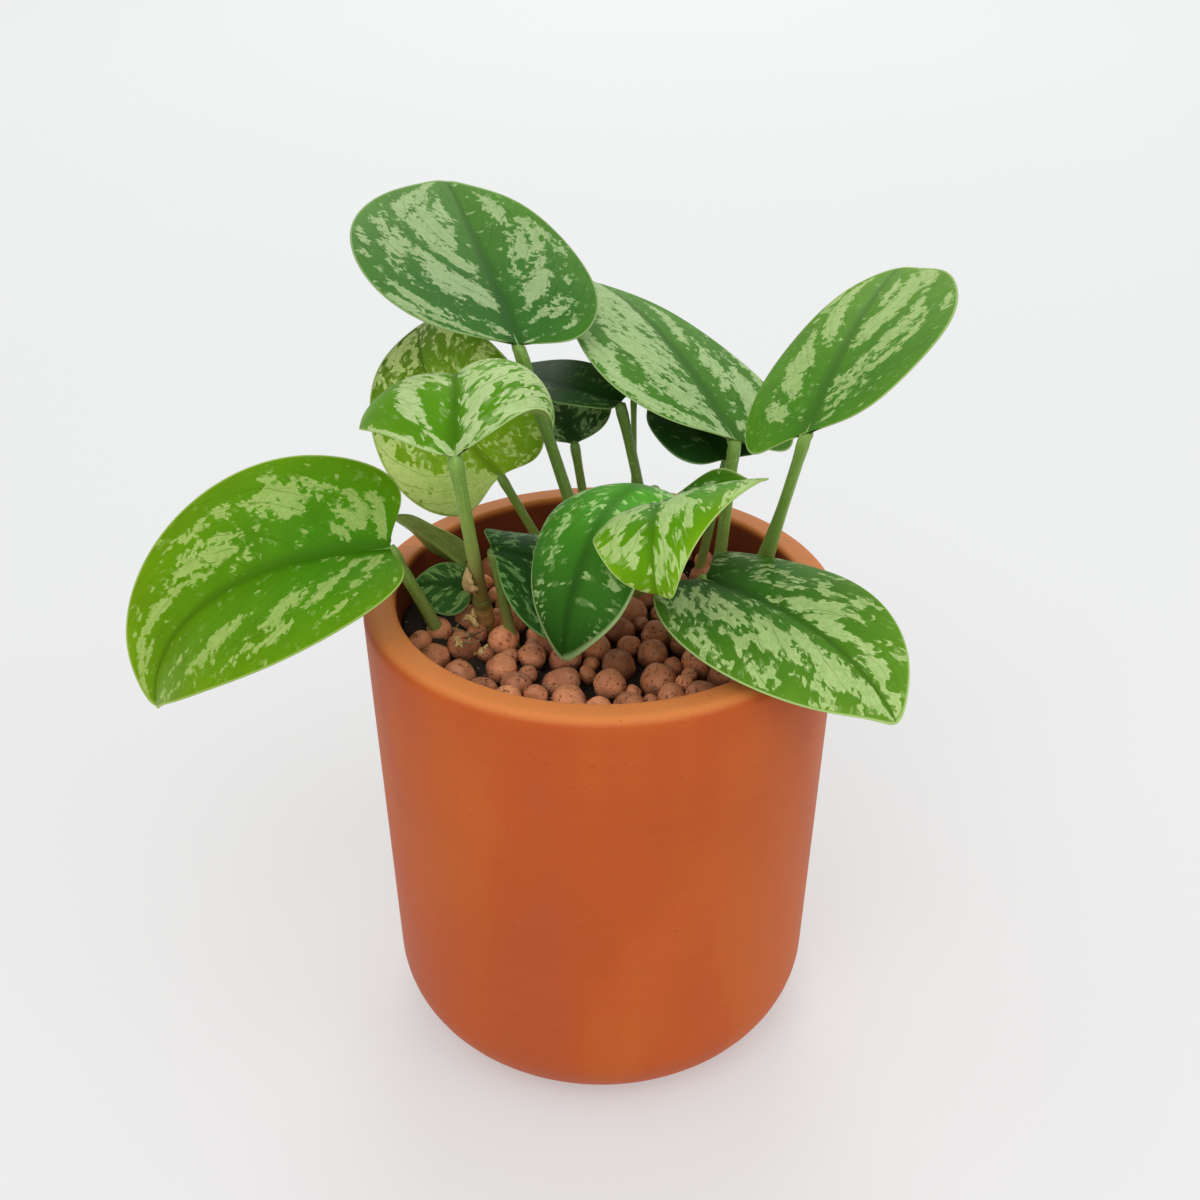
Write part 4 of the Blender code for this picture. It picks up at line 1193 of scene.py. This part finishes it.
def pebble_shapes(unevenness):
    """Every pebble's points, with one shared list of faces, its tone and how much painted shade each point
    takes.
    """
    broad, fine = PEBBLE_BUMPS
    ball = bmesh.new()
    bmesh.ops.create_icosphere(ball, subdivisions=PEBBLE_SPLITS, radius=1.0)
    unit = [vertex.co.copy() for vertex in ball.verts]
    faces = [tuple(vertex.index for vertex in face.verts) for face in ball.faces]
    ball.free()
    places, draw = pebble_places()
    points, tones, damp = [], [], []
    large = [(x, y, size, PEBBLE_SHARE) for x, y, size in places]
    filling = [(x, y, size, 1.0) for x, y, size in filling_places(places, np.random.default_rng(SEED + 1))]
    for x, y, size, share in large + filling:
        stretch = Vector([draw.uniform(*span) for span in PEBBLE_STRETCH])
        spin = Euler([draw.uniform(0, 2 * math.pi) for _ in range(3)])
        lift = draw.uniform(-PEBBLE_UNEVEN, PEBBLE_UNEVEN)
        rise = SOIL_TOP + BED_THICKNESS + PEBBLE_RISE + lift - size * PEBBLE_SINK
        rise -= FILLING_SINK if share == 1.0 else 0.0
        size *= share
        move, turn = Matrix.Translation(Vector((x, y, rise))), spin.to_matrix().to_4x4()
        place = move @ turn @ Matrix.Diagonal(stretch).to_4x4()
        shift = Vector((x, y, size)) * PEBBLE_SHIFT
        for spot in unit:
            bump = broad[0] * noise.noise(spot * broad[1] + shift)
            bump += fine[0] * noise.noise(spot * fine[1] + shift)
            points.append(place @ (spot * size * (1.0 + unevenness * bump)))
        tones.append(noise.noise(shift * PEBBLE_TONE[1]) * PEBBLE_TONE[0] + PEBBLE_TONE[2])
        # Painted shade: none over a pebble's middle, growing down towards its underside
        start, run = rise + PEBBLE_SHADE_BELOW[0] * size, PEBBLE_SHADE_BELOW[1] * size
        damp += [(start - point.z) / run for point in points[-len(unit):]]
    return np.array(points), faces, tones, np.clip(damp, 0.0, 1.0), len(unit)


# Operators


class POTHOS_OT_pot(Operator):
    """Turn the terracotta pot"""

    bl_idname = "pothos.pot"
    bl_label = "Pot"

    def execute(self, context):
        points, faces = turned_mesh(pot_profile(), context.scene.pothos_sizes.pot_sides)
        radius = np.hypot(points[:, 0], points[:, 1])
        # The inside of the pot gets painted shade, growing just under the rim
        inside = (radius < inner_radius(POT_HEIGHT) + MOUTH_REACH) & (points[:, 2] > FLOOR_THICKNESS - 1.0)
        depth = np.clip((POT_HEIGHT - MOUTH_SHADE_SPAN[0] - points[:, 2]) / MOUTH_SHADE_SPAN[1], 0.0, 1.0)
        material, values = terracotta_finish(context.scene.pothos_colours), {"inside": inside * depth}
        add_piece("terracotta_pot", points * MM, faces, material, "pot", values)
        return {"FINISHED"}


class POTHOS_OT_soil(Operator):
    """Fill the pot with crumbly soil up to the pebbles"""

    bl_idname = "pothos.soil"
    bl_label = "Soil"

    def execute(self, context):
        top, corner = SOIL_TOP + SOIL_BETWEEN, FLOOR_THICKNESS + FLOOR_FILLET
        rim, low = inner_radius(SOIL_TOP) - SOIL_PLAY, inner_radius(corner) - SOIL_PLAY
        bowl = quarter((low - FLOOR_FILLET, corner), FLOOR_FILLET, FLOOR_FILLET - SOIL_FLOOR_PLAY, 0.0, 4)
        profile = [(0.0, top)] + [(rim * share, top) for share in np.linspace(0.02, 1.0, SOIL_RINGS)]
        profile += [(low, corner)] + bowl[1:] + [(0.0, FLOOR_THICKNESS + SOIL_FLOOR_PLAY)]
        points, faces = turned_mesh(profile, SOIL_SIDES)
        for point in points:
            if point[2] > top - 0.1:
                bank = max(
                    high * math.exp(-((point[0] - x) ** 2 + (point[1] - y) ** 2) / reach ** 2)
                    for x, y, high, reach in SOIL_BANKS
                )
                crumb = noise.fractal(Vector(point) * SOIL_CRUMB[1], *SOIL_FRACTAL)
                point[2] += bank + (SOIL_CRUMB[0] + SOIL_CRUMB_ON_BANK * bank) * crumb + SOIL_LIFT
        material = soil_finish(context.scene.pothos_colours)
        add_piece("soil_fill", points * MM, faces, material, "potting_soil")
        return {"FINISHED"}


class POTHOS_OT_pebbles(Operator):
    """Lay the clay pebbles over the soil"""

    bl_idname = "pothos.pebbles"
    bl_label = "Pebbles"

    def execute(self, context):
        points, faces, tones, damp, each = pebble_shapes(context.scene.pothos_sizes.pebble_roughness)
        material, node = pebble_finish(context.scene.pothos_colours), "clay_pebbles"
        for number, group in enumerate(np.array_split(np.arange(len(tones)), PEBBLE_GROUPS)):
            chosen = np.concatenate([np.arange(i * each, (i + 1) * each) for i in group])
            joined = [tuple(v + k * each for v in face) for k in range(len(group)) for face in faces]
            # Each pebble's tone and the painted shade on its lower part
            values = {"tone": np.repeat([tones[i] for i in group], each), "damp": damp[chosen]}
            add_piece(f"pebbles_{number}", points[chosen] * MM, joined, material, node, values)
        return {"FINISHED"}


class POTHOS_OT_stem(Operator):
    """Grow the ringed stem with its dried sheath"""

    bl_idname = "pothos.stem"
    bl_label = "Ringed stem"

    def execute(self, context):
        leaf = next(leaf for leaf in LEAVES if leaf.name == STEM_LEAF)
        foot, _, _ = stalk_curve(leaf)
        along = stalk_direction(leaf)
        points, radii, rings = [foot - along * STEM_DEPTH], [STEM_RADIUS], [0.0]
        for i in range(STEM_STEPS + 1):
            share = i / STEM_STEPS
            turn = share * STEM_RINGS % 1.0
            ridge, scar = (math.exp(-((turn - at) / width) ** 2) for at, width in (STEM_RIDGE, STEM_SCAR))
            points.append(foot + along * (STEM_HEIGHT * share))
            radii.append(STEM_RADIUS - STEM_TAPER * 2 * STEM_RINGS * share + STEM_RING * ridge - STEM_PLAY)
            rings.append(scar)
        mesh_points, faces = tube_mesh(points, radii, STEM_SIDES)
        _, place = around_tube(points, STEM_SIDES)
        values = {"vein_place": place, "ring": np.repeat(rings, STEM_SIDES)}
        add_piece("stem_rings", mesh_points * MM, faces, stem_finish(), "stem_ringed", values)
        husk = husk_finish()
        self.add_sheath(leaf, foot, along, husk)
        for number, scrap in enumerate(SCRAPS):
            self.add_scrap(f"stem_scrap_{number}", number, *scrap, husk, "stem_ringed", "stem")
        node = "clay_pebbles"
        for number, scrap in enumerate(PEBBLE_SCRAPS):
            self.add_scrap(f"pebble_scrap_{number}", number + 10, *scrap, husk, node, node)
        return {"FINISHED"}

    def add_strip(self, name, outer, inner, rows, columns, husk, node, slot, pale):
        """A thin strip from the points of its two faces."""
        points = np.array([tuple(p) for p in outer + inner])
        count = rows * columns
        faces = grid_faces(rows, columns) + grid_faces(rows, columns, offset=count, flip=True)
        border = list(range(columns)) + [i * columns + columns - 1 for i in range(1, rows)]
        border += list(range(count - 2, count - columns - 1, -1))
        border += [i * columns for i in range(rows - 2, 0, -1)]
        for a, b in zip(border, border[1:] + border[:1]):
            faces.append((b, b + count, a + count, a))
        add_piece(name, points * MM, faces, husk, node, {"tone": np.full(len(points), pale)})

    def add_scrap(self, name, number, middle, heading, length, width, curl, pale, husk, node, slot):
        """One dried strip of sheath or root on the pebbles, curled up at its ends."""
        turn = math.radians(heading)
        ahead = Vector((math.cos(turn), math.sin(turn), 0))
        side = Vector((-math.sin(turn), math.cos(turn), 0))
        rows, columns = SCRAP_GRID
        upper = []
        for i in range(rows):
            s = i / (rows - 1) - 0.5
            sway = wander(1.2, s * 3.0, number, 2.0)
            torn = 0.75 + wander(0.8, s * 7.0, number, 5.0)
            half = width / 2 * (1 - (2 * abs(s)) ** 3 * SCRAP_NARROWING) * torn
            for j in range(columns):
                t = 2 * j / (columns - 1) - 1
                cup = SCRAP_CUP * width * t * t * (0.6 + wander(1.6, s * 4.0, number, 9.0))
                ripple = wander(0.5 * width, s * 5.0, t * 0.9 + number, 12.0)
                place = Vector(middle) + ahead * (s * length) + side * (t * half + sway)
                upper.append(place + Vector((0, 0, curl * 4 * s * s + cup + ripple)))
        lower = [place - Vector((0, 0, SCRAP_THICKNESS)) for place in upper]
        self.add_strip(name, lower, upper, rows, columns, husk, node, slot, pale)

    def add_sheath(self, leaf, foot, along, husk):
        """The dried sheath on the stalk's left, bulging out between its two ends."""
        turn = math.radians(SHEATH_HEADING)
        left = Vector((math.cos(turn), math.sin(turn), 0.0))
        left = (left - along * left.dot(along)).normalized()
        other = along.cross(left)
        rows, columns = SHEATH_GRID
        low, high = SHEATH_SPAN
        outer, inner = [], []
        for i in range(rows):
            up = i / (rows - 1)
            bulge = SHEATH_BULGE * math.sin(math.pi * up ** 0.8) ** 1.3
            wider = math.sin(math.pi * min(1.0, up + 0.08)) ** 0.6
            half = math.radians(SHEATH_OPENING[0] + SHEATH_OPENING[1] * wider)
            for j in range(columns):
                t = 2 * j / (columns - 1) - 1
                torn = wander(1.2, t * 2.2, up * 1.5, 1.7)
                ripple = wander(0.5, t * 1.7, up * 5.0, 8.0)
                angle = t * half * (0.85 + wander(0.5, up * 6.0, 3.0 * (t > 0), 4.0))
                radius = leaf.stalk[0] - STEM_PLAY + bulge * (1.0 - SHEATH_HOLLOW * t * t) + ripple
                height = low + (high - low) * up + torn * abs(math.cos(math.pi * up)) ** 2
                spoke = left * math.cos(angle) + other * math.sin(angle)
                outer.append(foot + along * height + spoke * radius)
                inner.append(foot + along * height + spoke * (radius - SHEATH_THICKNESS))
        self.add_strip("stalk_sheath", outer, inner, rows, columns, husk, STEM_LEAF, "leaf", SHEATH_TONE)


class POTHOS_OT_leaves(Operator):
    """Grow every leaf blade and its stalk"""

    bl_idname = "pothos.leaves"
    bl_label = "Leaves"

    def execute(self, context):
        sizes, colours = context.scene.pothos_sizes, context.scene.pothos_colours
        blade, stalk = leaf_finish(colours), stalk_finish(colours)
        for leaf in LEAVES:
            build_blade(leaf, sizes, blade)
            build_stalk(leaf, stalk)
        return {"FINISHED"}


class POTHOS_OT_stage(Operator):
    """Set the pale floor, soft studio light and camera"""

    bl_idname = "pothos.stage"
    bl_label = "Stage"

    def execute(self, context):
        scene = context.scene
        mesh = bpy.data.meshes.new("studio_floor")
        corners = [(x * FLOOR_REACH, y * FLOOR_REACH, 0) for x, y in ((-1, -1), (1, -1), (1, 1), (-1, 1))]
        mesh.from_pydata(corners, [], [(0, 1, 2, 3)])
        mesh.materials.append(floor_finish(scene.pothos_colours))
        floor = bpy.data.objects.new("studio_floor", mesh)
        scene.collection.objects.link(floor)

        world = bpy.data.worlds.new("studio")
        world.use_nodes = True
        background = world.node_tree.nodes["Background"].inputs
        background["Color"].default_value = (1.0, 1.0, 1.0, 1.0)
        background["Strength"].default_value = WORLD_STRENGTH
        scene.world = world
        for light in LIGHTS:
            self.add_light(*light)

        lens = bpy.data.cameras.new("view")
        lens.lens, lens.sensor_width = VIEW_LENS, SENSOR_WIDTH
        lens.shift_x, lens.shift_y = VIEW_SHIFT
        lens.clip_start = CLIP_START
        camera = bpy.data.objects.new("view", lens)
        scene.collection.objects.link(camera)
        angle = math.radians(VIEW_ELEVATION)
        forward = Vector((0.0, math.cos(angle), -math.sin(angle)))
        camera.location = Vector(VIEW_TARGET) - forward * VIEW_DISTANCE
        camera.rotation_euler = forward.to_track_quat("-Z", "Y").to_euler()
        scene.camera = camera
        scene.view_settings.view_transform = "Standard"
        scene.view_settings.look = "None"
        return {"FINISHED"}

    def add_light(self, name, place, size, power):
        lamp = bpy.data.lights.new(name, "AREA")
        lamp.shape, lamp.size, lamp.energy = "DISK", size, power
        made = bpy.data.objects.new(name, lamp)
        bpy.context.scene.collection.objects.link(made)
        made.location = place
        aim = Vector(LIGHT_AIM) - Vector(place)
        made.rotation_euler = aim.to_track_quat("-Z", "Y").to_euler()


class POTHOS_PT_panel(Panel):
    """The plant's pieces and settings"""

    bl_label = "Satin pothos"
    bl_space_type = "VIEW_3D"
    bl_region_type = "UI"
    bl_category = "Pothos"

    def draw(self, context):
        for group in (context.scene.pothos_sizes, context.scene.pothos_colours):
            box = self.layout.box()
            for key in group.__annotations__:
                box.prop(group, key)
        for step in STEPS:
            self.layout.operator(step.bl_idname)


STEPS = (POTHOS_OT_pot, POTHOS_OT_soil, POTHOS_OT_pebbles, POTHOS_OT_stem, POTHOS_OT_leaves, POTHOS_OT_stage)
CLASSES = (PothosSizes, PothosColours, *STEPS, POTHOS_PT_panel)


def register():
    for one in CLASSES:
        bpy.utils.register_class(one)
    bpy.types.Scene.pothos_sizes = PointerProperty(type=PothosSizes)
    bpy.types.Scene.pothos_colours = PointerProperty(type=PothosColours)


def unregister():
    del bpy.types.Scene.pothos_colours
    del bpy.types.Scene.pothos_sizes
    for one in reversed(CLASSES):
        bpy.utils.unregister_class(one)


def main():
    register()
    bpy.ops.pothos.pot()
    bpy.ops.pothos.soil()
    bpy.ops.pothos.pebbles()
    bpy.ops.pothos.stem()
    bpy.ops.pothos.leaves()
    bpy.ops.pothos.stage()


if __name__ == "__main__":
    main()
